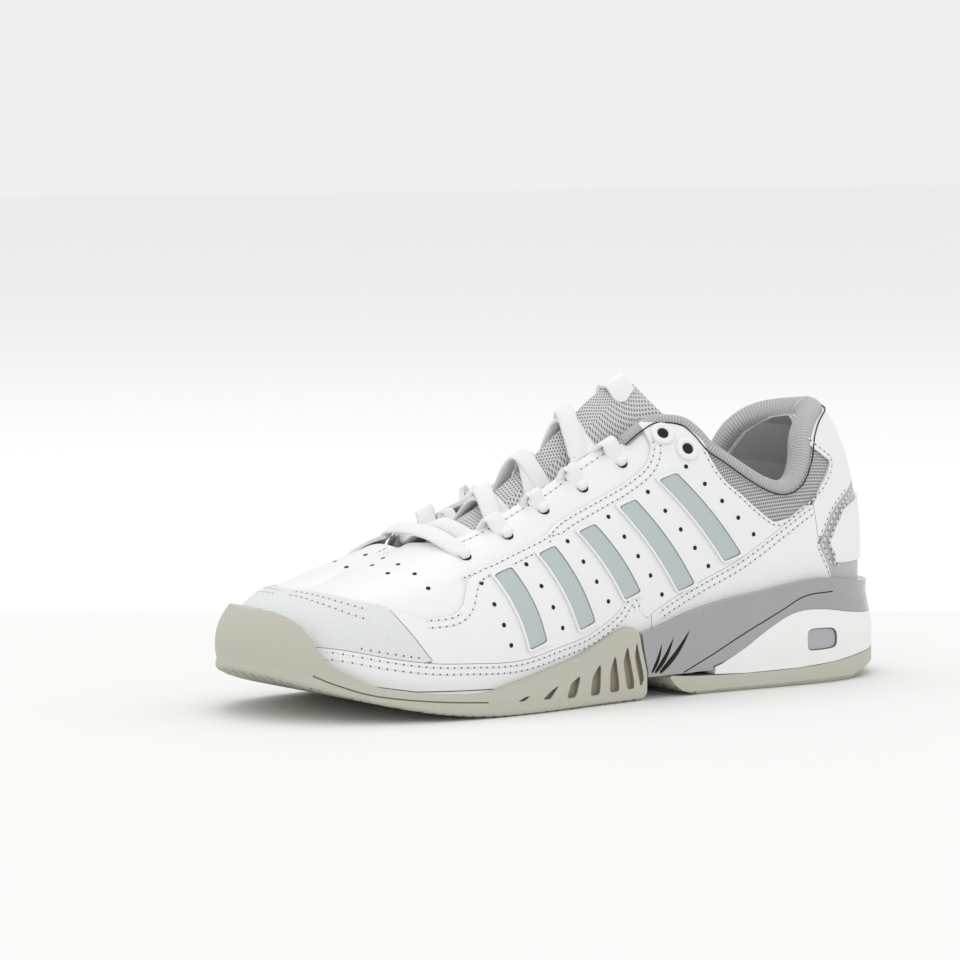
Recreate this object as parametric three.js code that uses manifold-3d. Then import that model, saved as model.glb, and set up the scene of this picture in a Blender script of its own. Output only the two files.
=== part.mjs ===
// Left tennis court shoe, women's EU 39, built as a stack of separate pieces round one last surface.
// Last frame: +X runs from toe to heel, -Y is the lateral side, +Z is up, in millimetres.
import * as THREE from 'three';
import { mergeVertices } from 'three/addons/utils/BufferGeometryUtils.js';
import Module from 'manifold-3d';

const wasm = await Module();
wasm.setup();

// Driving dimensions of the last.
const TOE_X = -130;
const HEEL_X = 134;
const LAST_OUTLINE = [[134, 0], [124, -21], [103, -31.5], [75, -34], [35, -35], [-5, -40], [-45, -47],
  [-78, -47], [-106, -37], [-124, -17], [-130, 5], [-123, 26], [-104, 40], [-75, 46], [-45, 43],
  [0, 33], [40, 30], [78, 33], [103, 31], [124, 21]];
const SPINE = [[-106, 5, 42], [-88, 4, 49], [-60, 2, 60], [-30, 0, 76], [0, 0, 92], [30, 0, 107],
  [60, 0, 116], [92, 0, 116]];
const FEATHER = [[-140, 24], [-120, 17], [-90, 12], [-50, 11], [0, 17], [50, 25], [100, 31], [140, 32]];
const RIB_RISE = [[-140, 0.62], [-100, 0.6], [-40, 0.55], [20, 0.6], [60, 0.7], [140, 0.5]];
const RIB_SHOULDER = [[-140, 0.62], [-100, 0.66], [-40, 0.6], [20, 0.6], [60, 0.7], [140, 0.85]];
const RIB_BULGE = [[-140, 4], [-100, 4], [-40, 4], [20, 2], [60, 1], [100, 2], [140, 3]];

// Layers, as distances out from the last surface.
const COLLAR_LINING = [-10.3, -9.3];
const COLLAR_FOAM = [-9, -3.2];
const LINING = [-4, -3];
const STIFFENER = [-2.7, -2];
const BASE = [-1.6, -0.4];
const OVERLAY = [0, 1.2];
const TRIM = [1.6, 2.4];
const SOLE_INNER = 1.6;
const SOLE_OUTER = 4.6;
const GAP = 0.35;

// Sole profile.
const SPRING_X = -50;
const SPRING_LENGTH = 80;
const SPRING_HEIGHT = 15;
const BEVEL_X = 112;
const BEVEL_SLOPE = 0.2;
const SOLE_FLARE = [[-140, 0.3], [-80, 0.8], [0, 0.3], [30, 0.3], [70, 1], [110, 2], [140, 2.5]];
const EDGE_ROUND = 2;
const TREAD = 3.6;

// Lattice of the last: stations along it, and steps up each rib.
const STATIONS = 18;
const RIB_STEPS = 5;
const SIDE_ROWS = [0.72, 0.3];
const BOTTOM_STEPS = 4;

// Origin of the shoe, under the middle of its box, in the last frame.
const ORIGIN = [3.01, -1.13];

// ---- interpolation and curves

function lookUp(table, x) {
  if (x <= table[0][0]) return table[0][1];
  for (let i = 1; i < table.length; i += 1) {
    const [x1, v1] = table[i];
    const [x0, v0] = table[i - 1];
    if (x <= x1) return v0 + ((v1 - v0) * (x - x0)) / (x1 - x0);
  }
  return table[table.length - 1][1];
}

function spline3(points, closed, count) {
  const curve = new THREE.CatmullRomCurve3(points.map((p) => new THREE.Vector3(p[0], p[1], p[2] || 0)),
    closed, 'catmullrom', 0.5);
  return curve.getPoints(count);
}

const outline = spline3(LAST_OUTLINE, true, LAST_OUTLINE.length * 8);
const toeIndex = 10 * 8;
const lateralEdge = outline.slice(0, toeIndex + 1).reverse().map((p) => [p.x, p.y]);
const medialEdge = outline.slice(toeIndex).map((p) => [p.x, p.y]);
const spineLine = spline3(SPINE, false, (SPINE.length - 1) * 8);
const spineY = spineLine.map((p) => [p.x, p.y]);
const spineZ = spineLine.map((p) => [p.x, p.z]);

function floorAt(x) {
  if (x < SPRING_X) return SPRING_HEIGHT * ((SPRING_X - x) / SPRING_LENGTH) ** 2;
  return x > BEVEL_X ? (x - BEVEL_X) * BEVEL_SLOPE : 0;
}

const featherAt = (x) => lookUp(FEATHER, x);

// ---- the last surface: side is -1 lateral or 1 medial, w runs from toe to heel, t from feather to spine

function footPoint(side, w) {
  const clamped = Math.min(Math.max(w, 0), 1);
  const x = TOE_X + ((HEEL_X - TOE_X) * (1 - Math.cos(Math.PI * clamped))) / 2;
  return [x, lookUp(side < 0 ? lateralEdge : medialEdge, x)];
}

function footNormal(side, w) {
  const step = 0.01;
  let a = footPoint(side, w - step);
  let b = footPoint(side, w + step);
  if (w < step) a = footPoint(-side, step - w);
  if (w > 1 - step) b = footPoint(-side, 2 - w - step);
  const along = new THREE.Vector2(b[0] - a[0], b[1] - a[1]).normalize();
  return side < 0 ? [along.y, -along.x] : [-along.y, along.x];
}

function lastPoint(side, w, t) {
  const [x, y] = footPoint(side, w);
  const [nx, ny] = footNormal(side, w);
  const run = Math.min(Math.max((x + 139) / 277, 0), 1);
  const topX = SPINE[0][0] + (SPINE[SPINE.length - 1][0] - SPINE[0][0]) * run;
  const top = new THREE.Vector3(topX, lookUp(spineY, topX), lookUp(spineZ, topX));
  const foot = new THREE.Vector3(x, y, featherAt(x));
  const rise = top.z - foot.z;
  const bulge = lookUp(RIB_BULGE, x);
  const p1 = new THREE.Vector3(x + nx * bulge, y + ny * bulge, foot.z + rise * lookUp(RIB_RISE, x));
  const reach = lookUp(RIB_SHOULDER, x);
  const p2 = new THREE.Vector3(top.x + (x - top.x) * reach, top.y + (y - top.y) * reach, top.z);
  return new THREE.CubicBezierCurve3(foot, p1, p2, top).getPoint(t);
}

function oneSidedNormal(side, w, t) {
  const dw = w > 0.5 ? -0.004 : 0.004;
  const dt = t > 0.5 ? -0.01 : 0.01;
  const here = lastPoint(side, w, t);
  const alongW = lastPoint(side, w + dw, t).sub(here).multiplyScalar(Math.sign(dw));
  const alongT = lastPoint(side, w, t + dt).sub(here).multiplyScalar(Math.sign(dt));
  return alongW.cross(alongT).multiplyScalar(-side).normalize();
}

function lastNormal(side, w, t) {
  if (t <= 0) {
    const [nx, ny] = footNormal(side, w);
    return new THREE.Vector3(nx, ny, 0);
  }
  const normal = oneSidedNormal(side, w, t);
  const onSeam = w <= 0 || w >= 1 || t >= 1;
  return onSeam ? normal.add(oneSidedNormal(-side, w, t)).normalize() : normal;
}

function lastOffset(side, w, t, offset) {
  return lastPoint(side, w, t).addScaledVector(lastNormal(side, w, t), offset);
}

// The place on one side of the last that shows at x and z in a side view, or at x and y from above.
function onLast(side, x, other, axis = 'z') {
  let best = { w: 0.5, t: 0.5 };
  let span = 0.5;
  for (let round = 0; round < 9; round += 1) {
    const centre = best;
    let least = Infinity;
    for (let i = -4; i <= 4; i += 1) {
      for (let j = -4; j <= 4; j += 1) {
        const w = Math.min(Math.max(centre.w + (span * i) / 4, 0), 1);
        const t = Math.min(Math.max(centre.t + (span * j) / 4, 0.001), 0.999);
        const p = lastPoint(side, w, t);
        const miss = (p.x - x) ** 2 + (p[axis] - other) ** 2;
        if (miss < least) {
          least = miss;
          best = { w, t };
        }
      }
    }
    span *= 0.45;
  }
  return { point: lastPoint(side, best.w, best.t), normal: lastNormal(side, best.w, best.t) };
}

// ---- solids

function toSolid(geometry) {
  const bare = geometry.index ? geometry.clone() : geometry;
  bare.deleteAttribute('normal');
  bare.deleteAttribute('uv');
  const merged = mergeVertices(bare, 1e-4);
  const source = merged.index.array;
  const kept = [];
  for (let i = 0; i < source.length; i += 3) {
    const [a, b, c] = [source[i], source[i + 1], source[i + 2]];
    if (a !== b && b !== c && c !== a) kept.push(a, b, c);
  }
  return new wasm.Manifold(new wasm.Mesh({
    numProp: 3,
    vertProperties: new Float32Array(merged.attributes.position.array),
    triVerts: new Uint32Array(kept),
  }));
}

// A closed body through rings of equal count; closed tips need no end caps.
function loftGeometry(rings, openEnded = false) {
  const around = rings[0].length;
  const geometry = new THREE.CylinderGeometry(1, 1, 1, around, rings.length - 1, openEnded);
  const position = geometry.attributes.position;
  const centres = rings.map((ring) => ring.reduce((sum, p) => sum.add(p), new THREE.Vector3())
    .divideScalar(around));
  const sideCount = (around + 1) * rings.length;
  for (let i = 0; i < position.count; i += 1) {
    const row = Math.round((0.5 - position.getY(i)) * (rings.length - 1));
    const radius = Math.hypot(position.getX(i), position.getZ(i));
    const turn = Math.atan2(position.getX(i), position.getZ(i)) / (2 * Math.PI);
    const column = i < sideCount ? i % (around + 1) : Math.round(turn * around + around);
    const place = radius < 0.5 ? centres[row] : rings[row][column % around];
    position.setXYZ(i, place.x, place.y, place.z);
  }
  return geometry;
}

// Splits the quads from one column on along their other diagonal, so that a back face matches a front face.
function turnDiagonals(geometry, fromColumn, rows) {
  const index = geometry.index.array;
  for (let i = fromColumn * rows * 6; i < (geometry.parameters.radialSegments * rows) * 6; i += 6) {
    const [a, b, d, , c] = index.slice(i, i + 6);
    index.set([a, b, c, a, c, d], i);
  }
}

function loft(rings, { openEnded = false, backFrom = Infinity } = {}) {
  const build = (order) => {
    const geometry = loftGeometry(order, openEnded);
    turnDiagonals(geometry, backFrom, rings.length - 1);
    return toSolid(geometry);
  };
  const body = build(rings);
  return body.volume() < 0 ? build(rings.slice().reverse()) : body;
}

function rowFlare(x, row) {
  const flare = lookUp(SOLE_FLARE, x);
  return row === 0 ? flare - EDGE_ROUND : flare * Math.min(1, (1 - row) * 2.2);
}

// Everything inside the last surface moved out by offset, down to floorOf(x).
function lastSolid(offset, floorOf, flared = false) {
  const rings = [];
  for (let k = 0; k <= STATIONS; k += 1) {
    const w = k / STATIONS;
    const ring = [];
    const wall = (side) => {
      const points = [];
      const [x, y] = footPoint(side, w);
      const [nx, ny] = footNormal(side, w);
      for (const row of [0, ...SIDE_ROWS.slice().reverse()]) {
        const out = offset + (flared ? rowFlare(x, row) : 0);
        const px = x + nx * out;
        const base = floorOf(px);
        points.push(new THREE.Vector3(px, y + ny * out, base + (featherAt(x) - base) * row));
      }
      for (let j = 0; j < RIB_STEPS; j += 1) points.push(lastOffset(side, w, j / RIB_STEPS, offset));
      return points;
    };
    const lateral = wall(-1);
    const medial = wall(1);
    ring.push(...lateral, lastOffset(1, w, 1, offset), ...medial.slice().reverse());
    for (let b = 1; b < BOTTOM_STEPS; b += 1) {
      const p = medial[0].clone().lerp(lateral[0], b / BOTTOM_STEPS);
      ring.push(p.setZ(floorOf(p.x)));
    }
    rings.push(ring);
  }
  return loft(rings, { openEnded: true });
}

function shell([inner, outer], depth = 1) {
  const outside = lastSolid(outer, (x) => featherAt(x) - depth);
  return outside.subtract(lastSolid(inner, (x) => featherAt(x) - depth - 4));
}

function extrude(points, depth) {
  const shape = new THREE.Shape(points.map((p) => new THREE.Vector2(p[0], p[1])));
  return new THREE.ExtrudeGeometry(shape, { depth, bevelEnabled: false, steps: 1 });
}

// Cutters: an outline seen from the side, between two widths, or seen from above, between two heights.
function sideCut(points, from, to) {
  return toSolid(extrude(points, to - from).rotateX(Math.PI / 2).translate(0, to, 0));
}

function planCut(points, from, to) {
  return toSolid(extrude(points, to - from).translate(0, 0, from));
}

const HALF_WIDTH = 80;
const lateralCut = (points) => sideCut(points, -HALF_WIDTH, 0);
const medialCut = (points) => sideCut(points, 0, HALF_WIDTH);
const fullCut = (points) => sideCut(points, -HALF_WIDTH, HALF_WIDTH);
const cutOn = (side, points) => (side < 0 ? lateralCut(points) : medialCut(points));

const shiftX = (points, d) => points.map(([x, z]) => [x + d, z]);
const shiftZ = (points, d) => points.map(([x, z]) => [x, z + d]);

function band(lowOf, highOf, from, to, steps = 24) {
  const xs = Array.from({ length: steps + 1 }, (_, i) => from + ((to - from) * i) / steps);
  return [...xs.map((x) => [x, lowOf(x)]), ...xs.reverse().map((x) => [x, highOf(x)])];
}

function featherBand(low, high) {
  const line = [[-155, FEATHER[0][1]], ...FEATHER, [155, FEATHER[FEATHER.length - 1][1]]];
  return [...line.map(([x, z]) => [x, z + low]), ...line.map(([x, z]) => [x, z + high]).reverse()];
}

// ---- meshes and materials

const shoe = new THREE.Group();

function finish(color, roughness, metalness = 0) {
  return new THREE.MeshStandardMaterial({ color, roughness, metalness });
}

// The largest of the bodies that a cut leaves, without the slivers beside it.
function mainBody(solid) {
  return solid.decompose().reduce((best, one) => (one.volume() > best.volume() ? one : best));
}

function piece(name, solid, material) {
  const mesh = mainBody(solid).getMesh();
  const geometry = new THREE.BufferGeometry();
  geometry.setAttribute('position', new THREE.BufferAttribute(new Float32Array(mesh.vertProperties), 3));
  geometry.setIndex(new THREE.BufferAttribute(new Uint32Array(mesh.triVerts), 1));
  geometry.computeVertexNormals();
  const node = new THREE.Mesh(geometry, material);
  node.name = name;
  shoe.add(node);
  return node;
}

const WHITE = () => finish(0xf1f2f4, 0.5);
const TEXTILE = () => finish(0xeceef0, 0.85);
const GREY_MESH = () => finish(0xb9b9bb, 0.9);
const STRIPE = () => finish(0xaab6b9, 0.45);
const SILVER = () => finish(0xc4c6c8, 0.35, 0.4);
const RUBBER = () => finish(0xc9c7ba, 0.8);
const FOAM = () => finish(0xdcdcd6, 0.9);
const TPU = () => finish(0xaeb0b4, 0.3, 0.2);

// ---- outlines of the upper, seen from the side (x, z) unless they say otherwise

const TOPLINE = [[39, 103.3], [44, 101.5], [48, 98], [52, 92], [58, 88], [66, 82.5], [74, 78], [82, 76],
  [89, 79], [94, 86], [99, 96], [106, 102], [116, 105], [128, 106], [150, 107]];
const ROLL_HEIGHT = 5;
const THROAT = [[-64, 2], [-62, -12], [-56, -18.5], [-42.5, -19.4], [-34, -19], [-17, -17.7], [-5, -15.6],
  [10, -14], [27, -13], [34, -12.6], [39, -14], [60, -14]];
const ROLL_FRONT_X = 18;
const ROLL_FULL_X = 56;

function openingSolid(drop, widen) {
  const topline = shiftZ(TOPLINE, -drop);
  const above = fullCut([...topline, [150, 150], [39, 150]]);
  const widthOf = (x) => (x > ROLL_FRONT_X - 3 ? widen : 0);
  const lateral = THROAT.map(([x, y]) => [x, y - widthOf(x)]);
  const medial = lateral.slice(1).map(([x, y]) => [x, 2 * lookUp(spineY, x) - y]).reverse();
  return above.add(planCut([...lateral, ...medial], 40, 150));
}

const opening = openingSolid(0, 0);
const panelOpening = openingSolid(ROLL_HEIGHT + GAP, 3.6);

const TOE_SEAM_PLAN = [[-84, 37.5], [-97, 34], [-106, 26], [-111, 15], [-112.5, 5], [-111, -5], [-107.5, -18],
  [-103, -27], [-97, -33.5]];
const TOE_REAR = [[-95, 39], [-93, 35], [-90, 30], [-87, 25], [-84.5, 21.4]];
const FOX_SEAM = [[-120, 26.5], [-112, 25.5], [-99, 22.6], [-85, 20.4], [-71.5, 19.6], [-49, 19], [-29, 22.4],
  [-16, 25], [-6, 29], [1, 33], [5, 37.5], [9, 38.5], [11.7, 36], [12.5, 31.5], [15, 29.5], [16.8, 30.6]];
const REAR_SEAM = [[17.2, 31], [28.6, 36], [41, 41], [59, 48], [77, 57.6], [88, 63.6], [95, 67]];
const EYESTAY_SEAM = [[-96, 39], [-90, 38], [-84.6, 36], [-78.5, 36], [-73, 36.8], [-68.6, 39.7], [-65.8, 43.8],
  [-62.7, 48], [-58, 51], [-51, 53], [-39, 57], [-27, 61], [-18, 66], [0, 72.7], [13, 77.6], [23, 83], [28, 89],
  [28.5, 94], [26, 104]];
const MESH_EDGE = [[50.5, 96], [50, 88], [55, 78], [62, 72], [69, 66], [77, 61], [83.5, 63], [90, 67], [100, 73],
  [107, 81], [104, 84], [96, 89.5], [93, 96]];
const PIPING = [[128, 75], [115, 69], [106, 63], [100, 55], [98, 51.5], [101, 46], [104, 41], [105, 36], [106, 24]];

const HEEL_SPLIT = [[95.2, 66.4], [97, 53]];

// Medial seams.
const MEDIAL_TEXTILE_REAR = [[-58, 64], [-52, 52], [-46, 43], [-38, 33], [-31, 24], [-30, 8]];
const MEDIAL_EYESTAY_SEAM = [[-46, 43], [-39, 49], [-27, 56], [-18, 62], [0, 70], [13, 75.5], [23, 81.5], [28, 88],
  [28.5, 94], [26, 104]];
const MEDIAL_FOX_SEAM = [[-29.5, 22], [-16, 25], [0, 28], [16.8, 31]];

const FLOOR_Z = -5;

// ---- upper

const overlayShell = shell(OVERLAY);
const baseShell = shell(BASE);

function toeCap() {
  const front = planCut([...TOE_SEAM_PLAN, [-84, -46], [-84, -90], [-150, -90], [-150, 90], [-84, 90]], 0, 150);
  const lateral = lateralCut([...shiftX(TOE_REAR, -GAP), ...shiftZ(FOX_SEAM, GAP).filter((p) => p[0] < -85)
    .reverse(), [-150, 27], [-150, 60], [-95, 60]]);
  const medialRear = medialCut([...shiftX(MEDIAL_TEXTILE_REAR, -GAP), [-150, 8], [-150, 64]]);
  const vampMedial = planCut([[-84, 37.5], [-76, 38], [-70, 33], [-64, 14], [-20, 14], [-20, 90], [-90, 90]], 0, 150);
  const medial = medialRear.intersect(front.add(vampMedial));
  return overlayShell.intersect(front.intersect(lateral).add(medial)).subtract(panelOpening);
}

function vamp() {
  const lateral = lateralCut([[-150, FLOOR_Z], [-70, FLOOR_Z], [-52, 40], [-18, 56], [13, 68], [30, 76], [36, 84],
    [36, 110], [-150, 110]]);
  const medial = medialCut([[-150, FLOOR_Z], [-74, FLOOR_Z], [-66, 70], [-150, 110]]);
  return baseShell.intersect(lateral.add(medial)).subtract(panelOpening);
}

function eyestayMedial() {
  const front = [[-60, 70], ...MEDIAL_TEXTILE_REAR.slice(1, 3)];
  const lower = shiftZ(MEDIAL_EYESTAY_SEAM.slice(1), -8);
  return baseShell.intersect(medialCut([...shiftX(front, GAP), ...lower, [36, 84], [36, 110]]))
    .subtract(panelOpening);
}

function quarterLateral() {
  const points = [...shiftX(TOE_REAR, GAP).reverse(), ...shiftZ(EYESTAY_SEAM.slice(1), -GAP), [54, 104],
    ...shiftX(MESH_EDGE.slice(0, 6), -GAP), [84, 62.4], [91, 66.2],
    ...shiftZ(REAR_SEAM, GAP).reverse().slice(1), [17, 31.4], ...shiftZ(FOX_SEAM, GAP).reverse().slice(1, -4)];
  return overlayShell.intersect(lateralCut(points)).subtract(panelOpening);
}

function quarterMedial() {
  const points = [...shiftX(MEDIAL_TEXTILE_REAR.slice(2, 5), GAP).reverse(), ...MEDIAL_EYESTAY_SEAM.slice(1),
    [54, 104], ...shiftX(MESH_EDGE.slice(0, 6), -GAP), [84, 62.4], [91, 66.2],
    ...shiftZ(REAR_SEAM, GAP).reverse().slice(1), ...shiftZ(MEDIAL_FOX_SEAM, GAP).reverse()];
  return overlayShell.intersect(medialCut(points)).subtract(panelOpening);
}

function foxing(side) {
  const seam = side < 0 ? FOX_SEAM : MEDIAL_FOX_SEAM;
  const start = seam[0][0];
  return overlayShell.intersect(cutOn(side, [[start, FLOOR_Z], ...seam, [16.8, FLOOR_Z]]));
}

function rearFoxing(side) {
  const points = [[17.2, FLOOR_Z], ...REAR_SEAM.slice(0, -1), ...HEEL_SPLIT, ...shiftX(PIPING.slice(4), -GAP),
    [105.6, FLOOR_Z]];
  return overlayShell.intersect(cutOn(side, points));
}

function collarMesh(side) {
  const points = [...MESH_EDGE, [93, 110], [50.5, 110]];
  return baseShell.intersect(cutOn(side, points)).subtract(panelOpening);
}

function heelPanel() {
  const rear = MESH_EDGE.slice(7).map(([x, z]) => [x + 0.5, z]);
  const lower = PIPING.slice(0, 4).map(([x, z]) => [x - GAP, z + GAP]);
  const split = shiftX(HEEL_SPLIT, GAP).reverse();
  const points = [[150, 77], ...lower, ...split, ...rear, [92, 110], [150, 110]];
  return overlayShell.intersect(fullCut(points)).subtract(panelOpening);
}

function heelTrim() {
  return overlayShell.intersect(fullCut([[150, 76], ...PIPING, [150, 24]]));
}

function backPatch() {
  const inner = [[150, 71], [116, 65], [109, 60], [104.5, 54.5], [103, 51.5], [106, 47.5], [109.5, 44], [150, 45]];
  return shell(TRIM).intersect(fullCut(inner));
}

// Stripes: leaning bars between the eyestay seam and the foxing seam, x and z of their front edge ends.
const STRIPE_WIDTH = 7.4;
const STRIPE_END_RISE = 2.4;
const STRIPE_ENDS = [
  [[-53.2, 49.1], [-43.9, 23]], [[-32.5, 55.4], [-19.3, 28]], [[-12.6, 62], [3.7, 37.2]],
  [[7.6, 69.7], [29.9, 38.4]], [[27.2, 78.4], [51.8, 48.1]]];
const MEDIAL_STRIPE_ENDS = [
  [[-42.5, 51.4], [-26, 26]], [[-26.5, 56.7], [-8, 30.2]], [[-10, 62.5], [8, 36.5]], [[5, 68.7], [28, 38.2]],
  [[19.5, 75.5], [47, 45.5]]];

function stripe(side, [top, foot]) {
  const points = [foot, [foot[0] + STRIPE_WIDTH, foot[1] + STRIPE_END_RISE],
    [top[0] + STRIPE_WIDTH, top[1] + STRIPE_END_RISE], top];
  return shell(TRIM).intersect(cutOn(side, points));
}

function flexPatch() {
  return shell(TRIM).intersect(medialCut([[-60, 47], [-55, 52], [-44, 39], [-47, 33]]));
}

function toePuff() {
  return shell(STIFFENER).intersect(fullCut([[-150, 0], [-106, 0], [-106, 70], [-150, 70]]));
}

function heelCounter() {
  return shell(STIFFENER).intersect(fullCut([[80, 0], [150, 0], [150, 66], [104, 66], [80, 44]]));
}

const COLLAR_FRONT_X = 46;
const COLLAR_BASE = [[COLLAR_FRONT_X, 54], [77, 42], [100, 48], [150, 62]];

// Both linings stop short of the eyelet rows, where the tongue takes over.
const LINING_TOP = [[-78, 120], [-78, 46], [-66, 44], [-39, 54], [-3, 66], [12.3, 70], [COLLAR_FRONT_X - GAP, 76]];

function quarterLining() {
  const low = [[12.5, FLOOR_Z], [150, FLOOR_Z], ...shiftZ(COLLAR_BASE, -GAP).reverse()];
  return shell(LINING).intersect(fullCut([...low, ...LINING_TOP.slice(-1), [12.5, 70]]));
}

function forefootLining() {
  return shell(LINING).intersect(fullCut([[-150, FLOOR_Z], [12.1, FLOOR_Z], [12.1, 70],
    ...LINING_TOP.slice(0, 5).reverse(), [-150, 120]]));
}

function collarPart(layer) {
  return shell(layer).intersect(fullCut([...COLLAR_BASE, [150, 130], [COLLAR_FRONT_X, 130]])).subtract(panelOpening);
}

function collarRoll() {
  const from = (x) => fullCut([[x, 60], [150, 60], [150, 150], [x, 150]]);
  const body = lastSolid(OVERLAY[1], featherAt);
  const thin = body.subtract(lastSolid(LINING[0], (x) => featherAt(x) - 4));
  const thick = body.subtract(lastSolid(COLLAR_LINING[0], (x) => featherAt(x) - 4)).intersect(from(ROLL_FULL_X));
  return thin.add(thick).intersect(openingSolid(ROLL_HEIGHT, 3.3)).subtract(opening).intersect(from(ROLL_FRONT_X));
}

// ---- eyelets

const EYELETS = [[-58, 55.5], [-39.4, 62], [-21.5, 70], [-3, 77], [16, 85]];
const RINGED_EYELETS = [[34.4, 94], [42, 88.6]];
const EYELET_RADIUS = 2.1;
const RING_RADIUS = 4.7;

function peg({ point, normal }, radius, from, to, sides = 8) {
  const geometry = new THREE.CylinderGeometry(radius, radius, to - from, sides);
  geometry.translate(0, (from + to) / 2, 0);
  geometry.applyQuaternion(new THREE.Quaternion().setFromUnitVectors(new THREE.Vector3(0, 1, 0), normal));
  return toSolid(geometry.translate(point.x, point.y, point.z));
}

function eyeletHoles(radius) {
  const sites = [-1, 1].flatMap((side) => [...EYELETS, ...RINGED_EYELETS].map(([x, z]) => onLast(side, x, z)));
  return sites.map((site) => peg(site, radius, -14, 6)).reduce((all, one) => all.add(one));
}

const holes = eyeletHoles(EYELET_RADIUS);
const punch = (solid) => solid.subtract(holes);

function eyeletRing([x, z], side) {
  const site = onLast(side, x, z);
  const flange = peg(site, RING_RADIUS, OVERLAY[1] + 0.6, OVERLAY[1] + 1.3, 12);
  return flange.subtract(peg(site, EYELET_RADIUS, -2, 4));
}

// ---- sole unit

const soleBody = lastSolid(SOLE_OUTER, floorAt, true);
const soleCore = lastSolid(SOLE_INNER, (x) => floorAt(x) - 3, false);
const BUMPER_LATERAL = [[-150, 38.2], [-127, 38.2], [-124, 35], [-122.5, 31], [-121, 26.5], [-118, 20.7], [-112, 16.6],
  [-105, 13.2], [-94, 10.8], [-80, 9.4], [-66, 9.1], [-53, 11.5], [-43, 13.7], [-33, 16.1], [-22, 18.6], [-12, 22],
  [-2, 26], [3, 27.2], [6.5, 26.6], [8.4, 24], [12, 10], [12, 3], [10.5, 0.8], [8, FLOOR_Z]];
const BUMPER_MEDIAL = [[-150, 38.2], [-125, 38.2], [-121, 33], [-118, 27], [-112, 22.5], [-100, 19.5], [-80, 18],
  [-40, 17], [0, 17.5], [9, 18.5], [11, 17], [12, 10], [12, 3], [10.5, 0.8], [8, FLOOR_Z]];

function forefootOutsole() {
  const lateral = lateralCut([...BUMPER_LATERAL, [-150, FLOOR_Z]]);
  const medial = medialCut([...BUMPER_MEDIAL, [-150, FLOOR_Z]]);
  const cavity = soleCore.intersect(fullCut(band((x) => floorAt(x) + TREAD, () => 90, -160, 160, 40)));
  return soleBody.intersect(lateral.add(medial)).subtract(cavity);
}

const HEEL_TREAD_TOP = [[24, 8], [36, 7], [59, 6.4], [84, 6.7], [102, 7.8], [128, 10.6], [150, 15]];

function heelOutsole() {
  const nose = [[24, 8], [23.6, 7.2], [26, 4.5], [30, 2], [36, 0.4], [40, FLOOR_Z]];
  return soleBody.intersect(fullCut([...HEEL_TREAD_TOP.slice().reverse(), ...nose, [150, FLOOR_Z]]));
}

const TPU_LOW = [[30, 8.4], [36, 8.6], [48, 11.2], [59, 16], [72, 23.2], [84, 27.6], [97, 27.8], [112, 25.7],
  [126, 24.4], [150, 24]];
const TPU_TOP = [[9.6, 24.5], [18, 26.1], [35, 30.8], [51, 34], [67, 36.1], [84, 38.4], [97, 39.4], [112, 37.6],
  [126, 36], [150, 35]];
const SHANK_TOP = 11.4;

function stabiliser() {
  const outline = [...TPU_TOP, ...TPU_LOW.slice().reverse(), [12.6, 8.4], [12.6, 10.2]];
  const wall = soleBody.subtract(soleCore).intersect(fullCut(outline));
  const bridge = soleBody.intersect(fullCut([[12.6, 8.4], [44, 8.6], [44, SHANK_TOP], [12.6, SHANK_TOP]]));
  return wall.add(bridge);
}

function midsole() {
  const innerSole = lastSolid(SOLE_INNER - GAP, (x) => floorAt(x) - 3, false);
  const topOf = (x) => featherAt(x);
  const treadTop = band((x) => floorAt(x) + TREAD + GAP, topOf, -98, 12.2, 11).slice(0, 12);
  const heelTop = HEEL_TREAD_TOP.slice(2).map(([x, z]) => [x, z + GAP]);
  const step = [[12.2, SHANK_TOP + GAP], [44.4, SHANK_TOP + GAP], [44.4, 7.2]];
  const upper = [[150, 32], ...FEATHER.slice(2, 7).reverse(), [-98, featherAt(-98)]];
  const core = innerSole.intersect(fullCut([...treadTop, ...step, ...heelTop, ...shiftZ(upper, -1.6)]));
  const low = [[45, 7.1], ...HEEL_TREAD_TOP.slice(2).map(([x, z]) => [x, z + GAP])];
  const wedge = [...low, ...TPU_LOW.slice(3).map(([x, z]) => [x, z - GAP]).reverse(), [48, 10.6], [45, 9.6]];
  const nose = fullCut([[30.5, 7.7], [45.2, 7.1], [45.2, 8.1], [30.5, 8]]);
  return core.add(soleBody.intersect(fullCut(wedge))).subtract(nose);
}

const WINDOW = [[87.5, 12.7], [103, 13.2], [103, 19.5], [101.5, 20.8], [89.5, 21], [87.5, 19.5]];

function windowPlug() {
  const skin = lastSolid(SOLE_OUTER - 0.3, floorAt, true).subtract(lastSolid(SOLE_OUTER - 2, floorAt, true));
  const inset = WINDOW.map(([x, z]) => [95.2 + (x - 95.2) * 0.95, 16.8 + (z - 16.8) * 0.93]);
  return skin.intersect(lateralCut(inset));
}

function windowPocket() {
  return soleBody.subtract(lastSolid(SOLE_OUTER - 2.4, floorAt, true)).intersect(lateralCut(WINDOW));
}

function lastingBoard() {
  return lastSolid(-4.4, (x) => featherAt(x) - 1.2)
    .intersect(fullCut(featherBand(-1.2, 0.9)));
}

function sockLiner() {
  return lastSolid(-4.6, (x) => featherAt(x) - 1)
    .intersect(fullCut(featherBand(1.3, 5)));
}

// ---- tongue: stations of x, z on the centre line, half width, sweep back, drop, and how soon it drops

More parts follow.
